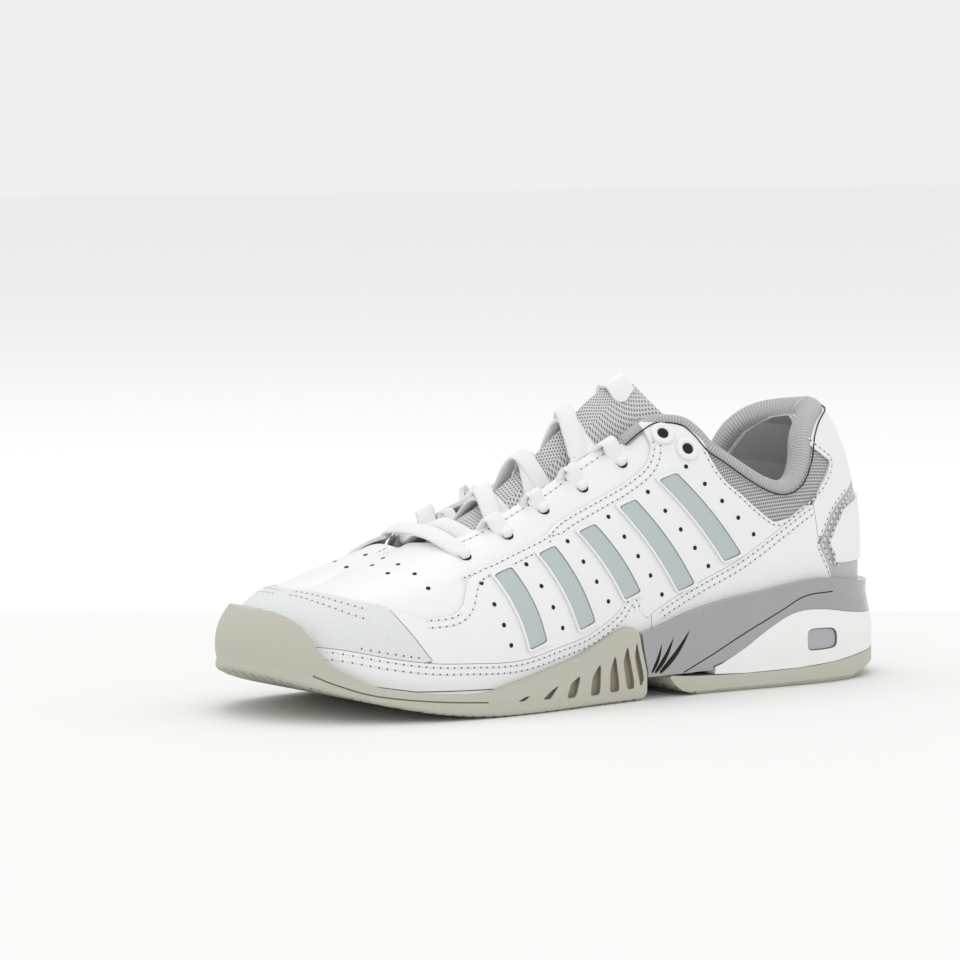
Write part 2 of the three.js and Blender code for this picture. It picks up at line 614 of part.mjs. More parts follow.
const TONGUE = [
  [-72, 49.4, 15, 1, 3, 0], [-62, 53.6, 17, 1, 5, 0], [-48, 60.6, 21, 1, 9, 0.2], [-30, 72, 21, 1, 15, 0.7],
  [-12, 84.5, 20.5, 2, 24.8, 0.9], [2, 95.5, 20, 3, 29.2, 1], [14, 105.5, 19, 5, 29, 1], [24, 112.6, 18, 9, 26, 0.8],
  [31, 116.8, 16, 18, 17, 0.2]];
const TONGUE_STEPS = 8;
const TONGUE_ACROSS = 8;
const TONGUE_FAN = 0.7;
const TONGUE_THICKNESS = [[0, 3.6], [0.3, 4.6], [0.6, 6], [1, 8]];

function tongueStation(u) {
  const run = u * (TONGUE.length - 1);
  const i = Math.min(Math.floor(run), TONGUE.length - 2);
  return TONGUE[i].map((value, k) => THREE.MathUtils.lerp(value, TONGUE[i + 1][k], run - i));
}

function tongueFace(u, v) {
  const [x, z, half, sweep, drop, steep] = tongueStation(u);
  const away = Math.abs(v);
  const fall = (1 - steep) * away ** 2 + steep * (0.85 * THREE.MathUtils.smoothstep(away, 0.1, 0.72)
    + 0.15 * away ** 2);
  return new THREE.Vector3(x + sweep * away ** 2, half * v, z - drop * fall);
}

function tongueNormal(u, v) {
  const e = 0.01;
  const along = tongueFace(Math.min(u + e, 1), v).sub(tongueFace(Math.max(u - e, 0), v));
  const across = tongueFace(u, Math.min(v + e, 1)).sub(tongueFace(u, Math.max(v - e, -1)));
  return along.cross(across).normalize();
}

// Depth runs down from the face, fanning out to the edges, so that the layers keep clear of each other.
function tonguePoint(u, v, depth) {
  const fan = TONGUE_FAN * v;
  const down = tongueNormal(u, 0).multiplyScalar(Math.cos(fan)).add(new THREE.Vector3(0, Math.sin(fan), 0));
  return tongueFace(u, v).addScaledVector(down, -depth);
}

function tongueLayer(from, to, startU, endU, halfV) {
  const rings = [];
  for (let k = 0; k <= TONGUE_STEPS; k += 1) {
    const u = startU + ((endU - startU) * k) / TONGUE_STEPS;
    const full = lookUp(TONGUE_THICKNESS, u);
    const ring = [];
    for (let i = 0; i <= TONGUE_ACROSS; i += 1) {
      ring.push(tonguePoint(u, halfV * ((2 * i) / TONGUE_ACROSS - 1), from(full)));
    }
    for (let i = TONGUE_ACROSS; i >= 0; i -= 1) {
      ring.push(tonguePoint(u, halfV * ((2 * i) / TONGUE_ACROSS - 1), to(full)));
    }
    rings.push(ring);
  }
  return loft(rings, { backFrom: TONGUE_ACROSS + 1 });
}

const TONGUE_SKIN = 0.9;
const tongueRoom = (margin = 0.5) => tongueLayer(() => -margin, (full) => full + margin, 0, 1, 1 + margin / 12);
const tongueFront = () => tongueLayer(() => 0, () => TONGUE_SKIN, 0, 1, 1);
const tongueFoam = () => tongueLayer(() => TONGUE_SKIN + GAP, (full) => full - TONGUE_SKIN - GAP, 0, 1, 1);
const tongueBack = () => tongueLayer((full) => full - TONGUE_SKIN, (full) => full, 0, 1, 1);
const LABEL_SPAN = { from: 0.878, to: 0.985, half: 0.36 };

function tongueLabel() {
  return tongueLayer(() => -1.7, () => 1, LABEL_SPAN.from, LABEL_SPAN.to, LABEL_SPAN.half).subtract(tongueRoom());
}

// ---- lace: one ribbon, down one half to the middle of the bottom bar and up the other

const LACE_WIDTH = 6.6;
const LACE_THICKNESS = 1.5;
const LACE_BUNCH = 2.9;
const LACE_SIDES = 4;
const LACE_LIFT = 2.6;

function onTongue(x, y) {
  let nearest = null;
  for (let i = 0; i <= 120; i += 1) {
    const u = i / 120;
    const v = THREE.MathUtils.clamp(y / tongueStation(u)[2], -1, 1);
    const point = tongueFace(u, v);
    if (!nearest || Math.abs(point.x - x) < Math.abs(nearest.point.x - x)) nearest = { u, v, point };
  }
  return { point: nearest.point, normal: tongueNormal(nearest.u, nearest.v) };
}

function ribbon(stops, margin = 0) {
  const centre = new THREE.CatmullRomCurve3(stops.map((s) => s.at), false, 'centripetal');
  const count = stops.length - 1;
  const rings = [];
  for (let k = 0; k <= count; k += 1) {
    const f = k / count;
    const run = f * (stops.length - 1);
    const i = Math.min(Math.floor(run), stops.length - 2);
    const mix = (key) => THREE.MathUtils.lerp(stops[i][key], stops[i + 1][key], run - i);
    const at = centre.getPoint(f);
    const forward = centre.getTangent(f);
    const up = stops[i].up.clone().lerp(stops[i + 1].up, run - i);
    const wide = forward.clone().cross(up).normalize();
    const thick = wide.clone().cross(forward).normalize();
    const ring = [];
    for (let a = 0; a < LACE_SIDES; a += 1) {
      const angle = (a * 2 * Math.PI) / LACE_SIDES;
      ring.push(at.clone().addScaledVector(wide, Math.cos(angle) * (mix('width') / 2 + margin))
        .addScaledVector(thick, Math.sin(angle) * (mix('depth') / 2 + margin)));
    }
    rings.push(ring);
  }
  return loft(rings);
}

function laceStop(at, up, width = LACE_WIDTH, depth = LACE_THICKNESS) {
  return { at, up, width, depth };
}

// One crossing: up out of the throat beside the near eyestay, over the tongue, and onto the far eyestay.
function crossing(from, to, lift) {
  const up = new THREE.Vector3(0, 0, 1);
  const near = Math.sign(from.point.y);
  const edge = (f) => -lookUp(THROAT, THREE.MathUtils.lerp(from.point.x, to.point.x, f));
  const lineX = (y) => THREE.MathUtils.mapLinear(y, from.point.y, to.point.y, from.point.x, to.point.x);
  const under = from.point.clone().addScaledVector(new THREE.Vector3(0, -near, 0), 3.5)
    .addScaledVector(from.normal, -5.9);
  const lipY = near * (edge(0.2) - 2.6);
  const lip = onLast(near, lineX(lipY), lipY, 'y');
  const stops = [laceStop(under, from.normal, 4.5)];
  stops.push(laceStop(lip.point.clone().addScaledVector(up, -2.6), lip.normal, 5.5));
  for (const y of [near * (edge(0.3) - 7), 0, -near * (edge(0.7) - 6)]) {
    const site = onTongue(lineX(y), y);
    stops.push(laceStop(site.point.addScaledVector(site.normal, 4.1 + (y === 0 ? lift : lift * 0.6)), site.normal));
  }
  const farY = -near * (edge(0.8) + 1.5);
  const far = onLast(-near, lineX(farY), farY, 'y');
  stops.push(laceStop(far.point.clone().addScaledVector(far.normal, 2.4), far.normal));
  return stops;
}

// The stops of one half, from the middle of the bottom bar up through its eyelets in turn.
function halfLace(firstSide, lift) {
  const up = new THREE.Vector3(0, 0, 1);
  const stops = [laceStop(new THREE.Vector3(-61.5, firstSide * 14, 62), up)];
  const sites = EYELETS.map(([x, z], i) => onLast(i % 2 ? -firstSide : firstSide, x, z));
  sites.forEach((hole, i) => {
    const inward = new THREE.Vector3(0, -Math.sign(hole.point.y), 0);
    stops.push(laceStop(hole.point.clone().addScaledVector(inward, 4.5).addScaledVector(hole.normal, 2.6),
      hole.normal, 5));
    stops.push(laceStop(hole.point.clone().addScaledVector(hole.normal, 1.9), inward, LACE_BUNCH, 2.4));
    stops.push(laceStop(hole.point.clone().addScaledVector(hole.normal, -4.6), inward, LACE_BUNCH, 2.4));
    if (i < sites.length - 1) stops.push(...crossing(hole, sites[i + 1], lift));
  });
  return stops;
}

function lace(margin = 0) {
  const middle = laceStop(new THREE.Vector3(-62, 2, 63.2), new THREE.Vector3(0, 0, 1));
  return ribbon([...halfLace(-1, 0).reverse(), middle, ...halfLace(1, LACE_LIFT)], margin);
}

// ---- assembly

const laceRoom = lace(0.8);
const softRoom = laceRoom.add(tongueRoom(1.2));

piece('outsole_forefoot', forefootOutsole(), RUBBER());
piece('outsole_heel', heelOutsole(), RUBBER());
piece('midsole', midsole().subtract(windowPocket()), FOAM());
piece('midsole_window', windowPlug(), SILVER());
piece('stabiliser_shank', stabiliser(), TPU());
piece('lasting_board', lastingBoard(), FOAM());
piece('sock_liner', sockLiner(), GREY_MESH());

piece('toe_cap', punch(toeCap()).subtract(laceRoom), TEXTILE());
piece('vamp', punch(vamp()).subtract(laceRoom), WHITE());
piece('eyestay_medial', punch(eyestayMedial()).subtract(laceRoom), WHITE());
piece('quarter_lateral', punch(quarterLateral()), WHITE());
piece('quarter_medial', punch(quarterMedial()), WHITE());
piece('foxing_lateral', foxing(-1), WHITE());
piece('foxing_medial', foxing(1), WHITE());
piece('rear_foxing_lateral', rearFoxing(-1), WHITE());
piece('rear_foxing_medial', rearFoxing(1), WHITE());
piece('collar_mesh_lateral', collarMesh(-1), GREY_MESH());
piece('collar_mesh_medial', collarMesh(1), GREY_MESH());
piece('heel_panel', heelPanel(), WHITE());
piece('heel_trim', heelTrim(), SILVER());
piece('back_patch', backPatch(), WHITE());
piece('flex_patch', flexPatch(), TEXTILE());
STRIPE_ENDS.forEach((ends, i) => piece(`stripe_lateral_${i + 1}`, stripe(-1, ends), STRIPE()));
MEDIAL_STRIPE_ENDS.forEach((ends, i) => piece(`stripe_medial_${i + 1}`, stripe(1, ends), SILVER()));

piece('toe_puff', toePuff(), FOAM());
piece('heel_counter', heelCounter(), FOAM());
piece('lining_forefoot', forefootLining(), GREY_MESH());
piece('lining_rear', quarterLining(), GREY_MESH());
piece('collar_foam', collarPart(COLLAR_FOAM), FOAM());
piece('collar_lining', collarPart(COLLAR_LINING), GREY_MESH());
piece('collar_roll', collarRoll().subtract(softRoom), GREY_MESH());
for (const side of [-1, 1]) {
  RINGED_EYELETS.forEach((site, i) => {
    piece(`eyelet_ring_${side < 0 ? 'lateral' : 'medial'}_${i + 1}`, eyeletRing(site, side), WHITE());
  });
}

piece('tongue_face', tongueFront(), GREY_MESH());
piece('tongue_foam', tongueFoam(), FOAM());
piece('tongue_lining', tongueBack(), GREY_MESH());
piece('tongue_label', tongueLabel(), WHITE());
piece('lace', lace(), WHITE());

shoe.position.set(-ORIGIN[0], -ORIGIN[1], 0);

export default shoe;
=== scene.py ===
import math

import bpy
import numpy as np
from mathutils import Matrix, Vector


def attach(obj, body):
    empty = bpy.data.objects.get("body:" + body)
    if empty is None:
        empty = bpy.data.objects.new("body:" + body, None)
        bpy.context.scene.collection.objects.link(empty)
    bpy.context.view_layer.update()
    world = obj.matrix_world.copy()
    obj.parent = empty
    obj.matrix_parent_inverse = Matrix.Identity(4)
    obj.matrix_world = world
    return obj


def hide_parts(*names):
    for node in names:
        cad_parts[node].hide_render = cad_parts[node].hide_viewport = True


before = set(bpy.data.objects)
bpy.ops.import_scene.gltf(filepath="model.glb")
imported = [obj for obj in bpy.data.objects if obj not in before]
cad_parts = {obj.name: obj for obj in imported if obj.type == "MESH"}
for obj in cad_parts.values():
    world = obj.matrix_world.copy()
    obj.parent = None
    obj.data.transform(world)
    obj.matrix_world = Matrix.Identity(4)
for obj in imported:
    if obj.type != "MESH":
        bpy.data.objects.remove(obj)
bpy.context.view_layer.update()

mm = 0.001
originInLast = (3.01, -1.13)  # the shoe's origin, in the last's own millimetres
lateral, medial = -1, 1


# Camera, lights and floor

view = {"azimuth": -35, "elevation": 5.5, "distance": 1.8, "target": (-0.003, 0.0011, 0.05),
        "lens": 183.75, "shift": (-0.076, 0.079)}
studio = {
    "key": {"at": (-1.1, -1.5, 1.9), "size": 1.4, "power": 7, "colour": (1.0, 0.99, 0.97)},
    "fill": {"at": (1.7, -1.1, 1.2), "size": 1.8, "power": 1.5, "colour": (0.97, 0.98, 1.0)},
    "top": {"at": (0.1, 0.7, 2.1), "size": 1.4, "power": 9, "colour": (1.0, 1.0, 1.0)},
    "world": 0.86, "floorSize": 14, "floorColour": (0.88, 0.88, 0.872, 1), "farColour": (0.965, 0.965, 0.96, 1),
    "farEdge": 0.27}


def aimAt(thing, target):
    thing.rotation_euler = (Vector(target) - thing.location).to_track_quat("-Z", "Y").to_euler()


def makeStage():
    a, e = math.radians(view["azimuth"]), math.radians(view["elevation"])
    back = Vector((math.sin(a) * math.cos(e), -math.cos(a) * math.cos(e), math.sin(e)))
    bpy.ops.object.camera_add(location=Vector(view["target"]) + back * view["distance"])
    camera = bpy.context.object
    camera.name = "mainCamera"
    camera.data.lens = view["lens"]
    camera.data.shift_x, camera.data.shift_y = view["shift"]
    camera.data.clip_start, camera.data.clip_end = 0.05, 50
    aimAt(camera, view["target"])
    bpy.context.scene.camera = camera
    for name in ("key", "fill", "top"):
        light = studio[name]
        bpy.ops.object.light_add(type="AREA", location=light["at"])
        lamp = bpy.context.object
        lamp.name = name + "Light"
        lamp.data.size, lamp.data.energy, lamp.data.color = light["size"], light["power"], light["colour"]
        aimAt(lamp, (0, 0, 0.04))
    world = bpy.data.worlds.new("paleStudio")
    world.use_nodes = True
    world.node_tree.nodes["Background"].inputs["Color"].default_value = (1, 1, 1, 1)
    world.node_tree.nodes["Background"].inputs["Strength"].default_value = studio["world"]
    bpy.context.scene.world = world
    bpy.context.scene.view_settings.view_transform = "Standard"


# The last: the same smooth foot form that every layer of the shoe is built round

last = {
    "toeX": -130, "heelX": 134,
    "outline": [(134, 0), (124, -21), (103, -31.5), (75, -34), (35, -35), (-5, -40), (-45, -47), (-78, -47),
                (-106, -37), (-124, -17), (-130, 5), (-123, 26), (-104, 40), (-75, 46), (-45, 43), (0, 33),
                (40, 30), (78, 33), (103, 31), (124, 21)],
    "toePoint": 10,
    "spine": [(-106, 5, 42), (-88, 4, 49), (-60, 2, 60), (-30, 0, 76), (0, 0, 92), (30, 0, 107), (60, 0, 116),
              (92, 0, 116)],
    "feather": [(-140, 24), (-120, 17), (-90, 12), (-50, 11), (0, 17), (50, 25), (100, 31), (140, 32)],
    "rise": [(-140, 0.62), (-100, 0.6), (-40, 0.55), (20, 0.6), (60, 0.7), (140, 0.5)],
    "shoulder": [(-140, 0.62), (-100, 0.66), (-40, 0.6), (20, 0.6), (60, 0.7), (140, 0.85)],
    "bulge": [(-140, 4), (-100, 4), (-40, 4), (20, 2), (60, 1), (100, 2), (140, 3)]}


def smoothCurve(points, closed=False, perSpan=10):
    p = np.array(points, float)
    count = len(p)
    t = (np.arange(perSpan) / perSpan)[:, None]
    out = []
    for i in range(count if closed else count - 1):
        b, c = p[i], p[(i + 1) % count]
        a = p[(i - 1) % count] if closed or i else 2 * b - c
        d = p[(i + 2) % count] if closed or i + 2 < count else 2 * c - b
        out.append(0.5 * (2 * b + (c - a) * t + (2 * a - 5 * b + 4 * c - d) * t ** 2
                          + (3 * b - a - 3 * c + d) * t ** 3))
    rows = np.vstack(out)
    return rows if closed else np.vstack([rows, p[-1:]])


def byX(table, x):
    rows = np.array(table, float)
    return np.interp(x, rows[:, 0], rows[:, 1])


def unit(rows):
    return rows / np.maximum(np.linalg.norm(rows, axis=-1, keepdims=True), 1e-9)


footRing = smoothCurve(last["outline"], True, 24)
toeRow = last["toePoint"] * 24
lateralEdge = footRing[:toeRow + 1][::-1]
medialEdge = np.vstack([footRing[toeRow:], footRing[:1]])


def betweenEnds(edge):
    inner = edge[(edge[:, 0] > last["toeX"] + 0.01) & (edge[:, 0] < last["heelX"] - 0.01)]
    return np.vstack([[last["toeX"], last["outline"][last["toePoint"]][1]], inner, [last["heelX"], 0]])


lateralEdge, medialEdge = betweenEnds(lateralEdge), betweenEnds(medialEdge)
spineLine = smoothCurve(last["spine"], False, 16)
featherAt = lambda x: byX(last["feather"], x)


def mirrorEnds(w, s):
    over = (w < 0) | (w > 1)
    return np.where(w < 0, -w, np.where(w > 1, 2 - w, w)), np.where(over, np.where(s == 0, -1e-9, -s), s)


def footPoint(w, s):
    w, s = mirrorEnds(w, s)
    x = last["toeX"] + (last["heelX"] - last["toeX"]) * (1 - np.cos(np.pi * w)) / 2
    return x, np.where(s < 0, np.interp(x, *lateralEdge.T), np.interp(x, *medialEdge.T))


def footNormal(w, s):
    ax, ay = footPoint(w - 0.01, s)
    bx, by = footPoint(w + 0.01, s)
    length = np.hypot(bx - ax, by - ay)
    side = np.where(s < 0, -1.0, 1.0)
    return -side * (by - ay) / length, side * (bx - ax) / length


def lastPoint(w, s):
    # w runs from toe to heel; s from -1 at the lateral feather over the spine at 0 to 1 at the medial feather
    w, s = mirrorEnds(*np.broadcast_arrays(np.asarray(w, float), np.asarray(s, float)))
    x, y = footPoint(w, s)
    nx, ny = footNormal(w, s)
    t = 1 - np.minimum(np.abs(s), 1)
    run = np.clip((x + 139) / 277, 0, 1)
    topX = last["spine"][0][0] + (last["spine"][-1][0] - last["spine"][0][0]) * run
    topY = np.interp(topX, spineLine[:, 0], spineLine[:, 1])
    topZ = np.interp(topX, spineLine[:, 0], spineLine[:, 2])
    z = featherAt(x)
    bulge, reach = byX(last["bulge"], x), byX(last["shoulder"], x)
    foot = np.stack([x, y, z])
    low = np.stack([x + nx * bulge, y + ny * bulge, z + (topZ - z) * byX(last["rise"], x)])
    high = np.stack([topX + (x - topX) * reach, topY + (y - topY) * reach, topZ])
    top = np.stack([topX, topY, topZ])
    p = foot * (1 - t) ** 3 + 3 * low * t * (1 - t) ** 2 + 3 * high * t ** 2 * (1 - t) + top * t ** 3
    p[2] -= np.maximum(np.abs(s) - 1, 0) * 10  # past the feather the wall goes straight down, 1 in s for 10 mm
    return np.moveaxis(p, 0, -1)


def lastNormal(w, s):
    w, s = np.broadcast_arrays(np.asarray(w, float), np.asarray(s, float))
    s = np.where(np.abs(s) < 0.002, 0.002, s)
    alongW = lastPoint(w + 0.004, s) - lastPoint(w - 0.004, s)
    alongS = lastPoint(w, np.clip(s + 0.01, -1, 1)) - lastPoint(w, np.clip(s - 0.01, -1, 1))
    n = np.cross(alongW, alongS)
    n /= np.maximum(np.linalg.norm(n, axis=-1, keepdims=True), 1e-9)
    nx, ny = footNormal(w, s)
    flat = np.stack([nx, ny, np.zeros_like(nx)], -1)
    mix = np.clip((np.abs(s) - 0.88) / 0.12, 0, 1)[..., None]
    n = n * (1 - mix) + flat * mix
    return n / np.maximum(np.linalg.norm(n, axis=-1, keepdims=True), 1e-9)


def lastUv(w, s):
    # millimetres along the shoe, and up the rib from the feather
    x, _ = footPoint(w, s)
    t = 1 - np.minimum(np.abs(s), 1)
    footRun = np.pi / 2 * w * 300
    topRun = 40 + 198 * np.clip((x + 139) / 277, 0, 1)
    topRun = np.where(w > 1, 480 - topRun, topRun)
    rib = 30 + 62 * np.clip((x + 100) / 150, 0, 1)
    return np.stack([footRun * (1 - t) + topRun * t, np.where(s < 0, -1, 1) * (np.abs(s) - 1) * rib], -1)


def whereOn(side, x, other, axis=2):
    # the (w, s) on one side of the last with that x and z seen from the side, or x and y seen from above
    x, other = np.atleast_1d(np.asarray(x, float)), np.atleast_1d(np.asarray(other, float))
    w, t, span = np.full(len(x), 0.5), np.full(len(x), 0.5), 0.5
    steps = np.linspace(-1, 1, 9)
    for _ in range(13):
        ww = np.clip(w[:, None, None] + span * steps[None, :, None], 0, 1) + 0 * steps[None, None, :]
        tt = np.clip(t[:, None, None] + span * steps[None, None, :], 0.001, 0.999) + 0 * steps[None, :, None]
        p = lastPoint(ww, side * (1 - tt))
        miss = (p[..., 0] - x[:, None, None]) ** 2 + (p[..., axis] - other[:, None, None]) ** 2
        pick = miss.reshape(len(x), -1).argmin(1)
        rows = np.arange(len(x))
        w, t = ww.reshape(len(x), -1)[rows, pick], tt.reshape(len(x), -1)[rows, pick]
        span *= 0.5
    return w, side * (1 - t)


def onLast(side, x, other, axis=2):
    place = whereOn(side, x, other, axis)
    return lastPoint(*place), lastNormal(*place)


def toShoe(points):
    p = np.asarray(points, float).reshape(-1, 3)
    return (p - np.array([originInLast[0], originInLast[1], 0])) * mm


# Making and cutting

def clearSelection():
    if bpy.context.object and bpy.context.object.mode != "OBJECT":
        bpy.ops.object.mode_set(mode="OBJECT")
    bpy.ops.object.select_all(action="DESELECT")


def active(piece):
    clearSelection()
    piece.select_set(True)
    bpy.context.view_layer.objects.active = piece


def applyAll(piece):
    active(piece)
    for modifier in list(piece.modifiers):
        bpy.ops.object.modifier_apply(modifier=modifier.name)


def mergeClose(piece, distance=2e-6):
    active(piece)
    bpy.ops.object.mode_set(mode="EDIT")
    bpy.ops.mesh.select_all(action="SELECT")
    bpy.ops.mesh.remove_doubles(threshold=distance)
    bpy.ops.mesh.dissolve_degenerate(threshold=1e-7)
    bpy.ops.object.mode_set(mode="OBJECT")


def faceOut(piece):
    active(piece)
    bpy.ops.object.mode_set(mode="EDIT")
    bpy.ops.mesh.select_all(action="SELECT")
    bpy.ops.mesh.normals_make_consistent(inside=False)
    bpy.ops.object.mode_set(mode="OBJECT")


def smooth(piece, degrees=38):
    active(piece)
    bpy.ops.object.shade_smooth_by_angle(angle=math.radians(degrees))


def shapedGrid(name, across, along, placeAt, uvAt=None):
    # a flat grid bent so that each point (u, v) of it lies at placeAt(u, v), in the last's millimetres
    clearSelection()
    bpy.ops.mesh.primitive_grid_add(x_subdivisions=across, y_subdivisions=along, size=1)
    piece = bpy.context.object
    piece.name = piece.data.name = name
    mesh = piece.data
    flat = np.empty(len(mesh.vertices) * 3)
    mesh.vertices.foreach_get("co", flat)
    u, v = flat.reshape(-1, 3)[:, 0] + 0.5, flat.reshape(-1, 3)[:, 1] + 0.5
    mesh.vertices.foreach_set("co", toShoe(placeAt(u, v)).ravel())
    uv = uvAt(u, v) if uvAt else np.stack([u, v], -1)
    corner = np.empty(len(mesh.loops), int)
    mesh.loops.foreach_get("vertex_index", corner)
    mesh.uv_layers.active.data.foreach_set("uv", uv[corner].ravel())
    mesh.update()
    return piece


def lastSheet(name, offset, wRange, sRange, across, along, swell=None):
    def spread(u, v):
        return wRange[0] + (wRange[1] - wRange[0]) * u, sRange[0] + (sRange[1] - sRange[0]) * v

    def placeAt(u, v):
        w, s = spread(u, v)
        out = offset + (swell(w, s) if swell else 0)
        return lastPoint(w, s) + lastNormal(w, s) * np.reshape(out, (-1, 1) if np.ndim(out) else ())

    piece = shapedGrid(name, across, along, placeAt, lambda u, v: lastUv(*spread(u, v)))
    if wRange[0] == 0:
        mergeClose(piece)
    return piece


def thicken(piece, thickness):
    modifier = piece.modifiers.new("wall", "SOLIDIFY")
    modifier.thickness = thickness * mm
    modifier.offset = -1
    applyAll(piece)


def prism(points, axis, low, high, name="cutter"):
    # an outline drawn in x and z (axis 1) or in x and y (axis 2), pulled straight from low to high
    clearSelection()
    rows = np.array(points, float)
    keep = np.hypot(*(rows - np.roll(rows, 1, 0)).T) > 0.02
    rows = rows[keep]
    x, o = rows.T
    area = np.sum(x * np.roll(o, -1) - np.roll(x, -1) * o)
    rows = rows if (area > 0) else rows[::-1]
    bpy.ops.mesh.primitive_circle_add(vertices=len(rows), fill_type="NGON")
    piece = bpy.context.object
    piece.name = name
    ring = np.zeros((len(rows), 3))
    ring[:, 0], ring[:, 3 - axis] = rows[:, 0], rows[:, 1]
    ring[:, axis] = high if axis == 1 else low
    piece.data.vertices.foreach_set("co", toShoe(ring).ravel())
    piece.data.update()
    bpy.ops.object.mode_set(mode="EDIT")
    bpy.ops.mesh.select_all(action="SELECT")
    step = [0, 0, 0]
    step[axis] = (low - high if axis == 1 else high - low) * mm
    bpy.ops.mesh.extrude_region_move(TRANSFORM_OT_translate={"value": step})
    bpy.ops.mesh.select_all(action="SELECT")
    bpy.ops.mesh.normals_make_consistent(inside=False)
    bpy.ops.object.mode_set(mode="OBJECT")
    return piece


def cut(piece, tool, how="INTERSECT", keep=False, transfer=False):
    modifier = piece.modifiers.new("cut", "BOOLEAN")
    modifier.operation, modifier.solver, modifier.object = how, "EXACT", tool
    if transfer:
        modifier.material_mode = "TRANSFER"
    applyAll(piece)
    if not keep:
        bpy.data.objects.remove(tool)


halfWidth = 90


def sidePrism(side, points):
    low, high = (-halfWidth, 0) if side < 0 else (0, halfWidth)
    return prism(points, 1, low, high)


def fullPrism(points):
    return prism(points, 1, -halfWidth, halfWidth)


def joined(pieces, name):
    active(pieces[0])
    for piece in pieces[1:]:
        piece.select_set(True)
    if len(pieces) > 1:
        bpy.ops.object.join()
    piece = bpy.context.object
    piece.name = piece.data.name = name
    return piece


# Shared surface effects, each one node group

def socketIn(tree, name, kind, value=None):
    socket = tree.interface.new_socket(name=name, in_out="INPUT", socket_type=kind)
    if value is not None:
        socket.default_value = value


def node(tree, kind, **settings):
    made = tree.nodes.new(kind)
    for key, value in settings.items():
        setattr(made, key, value)
    return made


def maths(tree, operation, a, b=None, c=None):
    made = node(tree, "ShaderNodeMath", operation=operation)
    for i, value in enumerate((a, b, c)):
        if value is None:
            continue
        if isinstance(value, (int, float)):
            made.inputs[i].default_value = value
        else:
            tree.links.new(value, made.inputs[i])
    return made.outputs[0]


def newGroup(name, inputs, outputs):
    tree = bpy.data.node_groups.new(name, "ShaderNodeTree")
    for row in inputs:
        socketIn(tree, *row)
    for title, kind in outputs:
        tree.interface.new_socket(name=title, in_out="OUTPUT", socket_type=kind)
    return tree, node(tree, "NodeGroupInput"), node(tree, "NodeGroupOutput")


def makeGrain():
    # pebbled grain of coated leather or moulded rubber
    tree, given, out = newGroup("fineGrain", [("Vector", "NodeSocketVector"), ("Scale", "NodeSocketFloat", 900.0)],
                                [("Height", "NodeSocketFloat")])
    cells = node(tree, "ShaderNodeTexVoronoi", feature="SMOOTH_F1")
    clouds = node(tree, "ShaderNodeTexNoise")
    clouds.inputs["Detail"].default_value = 4
    for texture in (cells, clouds):
        tree.links.new(given.outputs["Vector"], texture.inputs["Vector"])
    tree.links.new(given.outputs["Scale"], cells.inputs["Scale"])
    tree.links.new(maths(tree, "MULTIPLY", given.outputs["Scale"], 0.23), clouds.inputs["Scale"])
    tree.links.new(maths(tree, "ADD", cells.outputs["Distance"],
                         maths(tree, "MULTIPLY", clouds.outputs[0], 0.8)), out.inputs["Height"])
    return tree


def makeTone():
    # slow drift of colour and gloss, with a little dust
    tree, given, out = newGroup(
        "toneDrift", [("Vector", "NodeSocketVector"), ("Colour", "NodeSocketColor"),
                      ("Drift", "NodeSocketFloat", 0.04), ("Roughness", "NodeSocketFloat", 0.5)],
        [("Colour", "NodeSocketColor"), ("Roughness", "NodeSocketFloat")])
    wide = node(tree, "ShaderNodeTexNoise")
    wide.inputs["Scale"].default_value = 22
    wide.inputs["Detail"].default_value = 3
    tree.links.new(given.outputs["Vector"], wide.inputs["Vector"])
    centred = maths(tree, "SUBTRACT", wide.outputs[0], 0.5)
    swing = maths(tree, "MULTIPLY", centred, given.outputs["Drift"])
    tint = node(tree, "ShaderNodeHueSaturation")
    tree.links.new(maths(tree, "ADD", maths(tree, "MULTIPLY", swing, 2.0), 1.0), tint.inputs["Value"])
    tree.links.new(given.outputs["Colour"], tint.inputs["Color"])
    tree.links.new(tint.outputs[0], out.inputs["Colour"])
    tree.links.new(maths(tree, "ADD", given.outputs["Roughness"], maths(tree, "MULTIPLY", swing, 2.5)),
                   out.inputs["Roughness"])
    return tree


def makeWeave():
    # over and under threads on millimetre coordinates
    tree, given, out = newGroup("plainWeave", [("Vector", "NodeSocketVector"), ("Pitch", "NodeSocketFloat", 1.0),
                                               ("Slant", "NodeSocketFloat", 0.0)],
                                [("Height", "NodeSocketFloat"), ("Gap", "NodeSocketFloat")])
    split = node(tree, "ShaderNodeSeparateXYZ")
    tree.links.new(given.outputs["Vector"], split.inputs[0])
    turn = maths(tree, "DIVIDE", math.pi, given.outputs["Pitch"])
    slide = maths(tree, "MULTIPLY", split.outputs[0], given.outputs["Slant"])
    a = maths(tree, "SINE", maths(tree, "MULTIPLY", split.outputs[0], turn))
    b = maths(tree, "SINE", maths(tree, "MULTIPLY", maths(tree, "ADD", split.outputs[1], slide), turn))
    both = maths(tree, "MULTIPLY", a, b)
    tree.links.new(maths(tree, "MULTIPLY_ADD", both, 0.5, 0.5), out.inputs["Height"])
    thin = maths(tree, "MULTIPLY", maths(tree, "ABSOLUTE", a), maths(tree, "ABSOLUTE", b))
    tree.links.new(maths(tree, "SUBTRACT", 1.0, maths(tree, "POWER", thin, 0.35)), out.inputs["Gap"])
    return tree


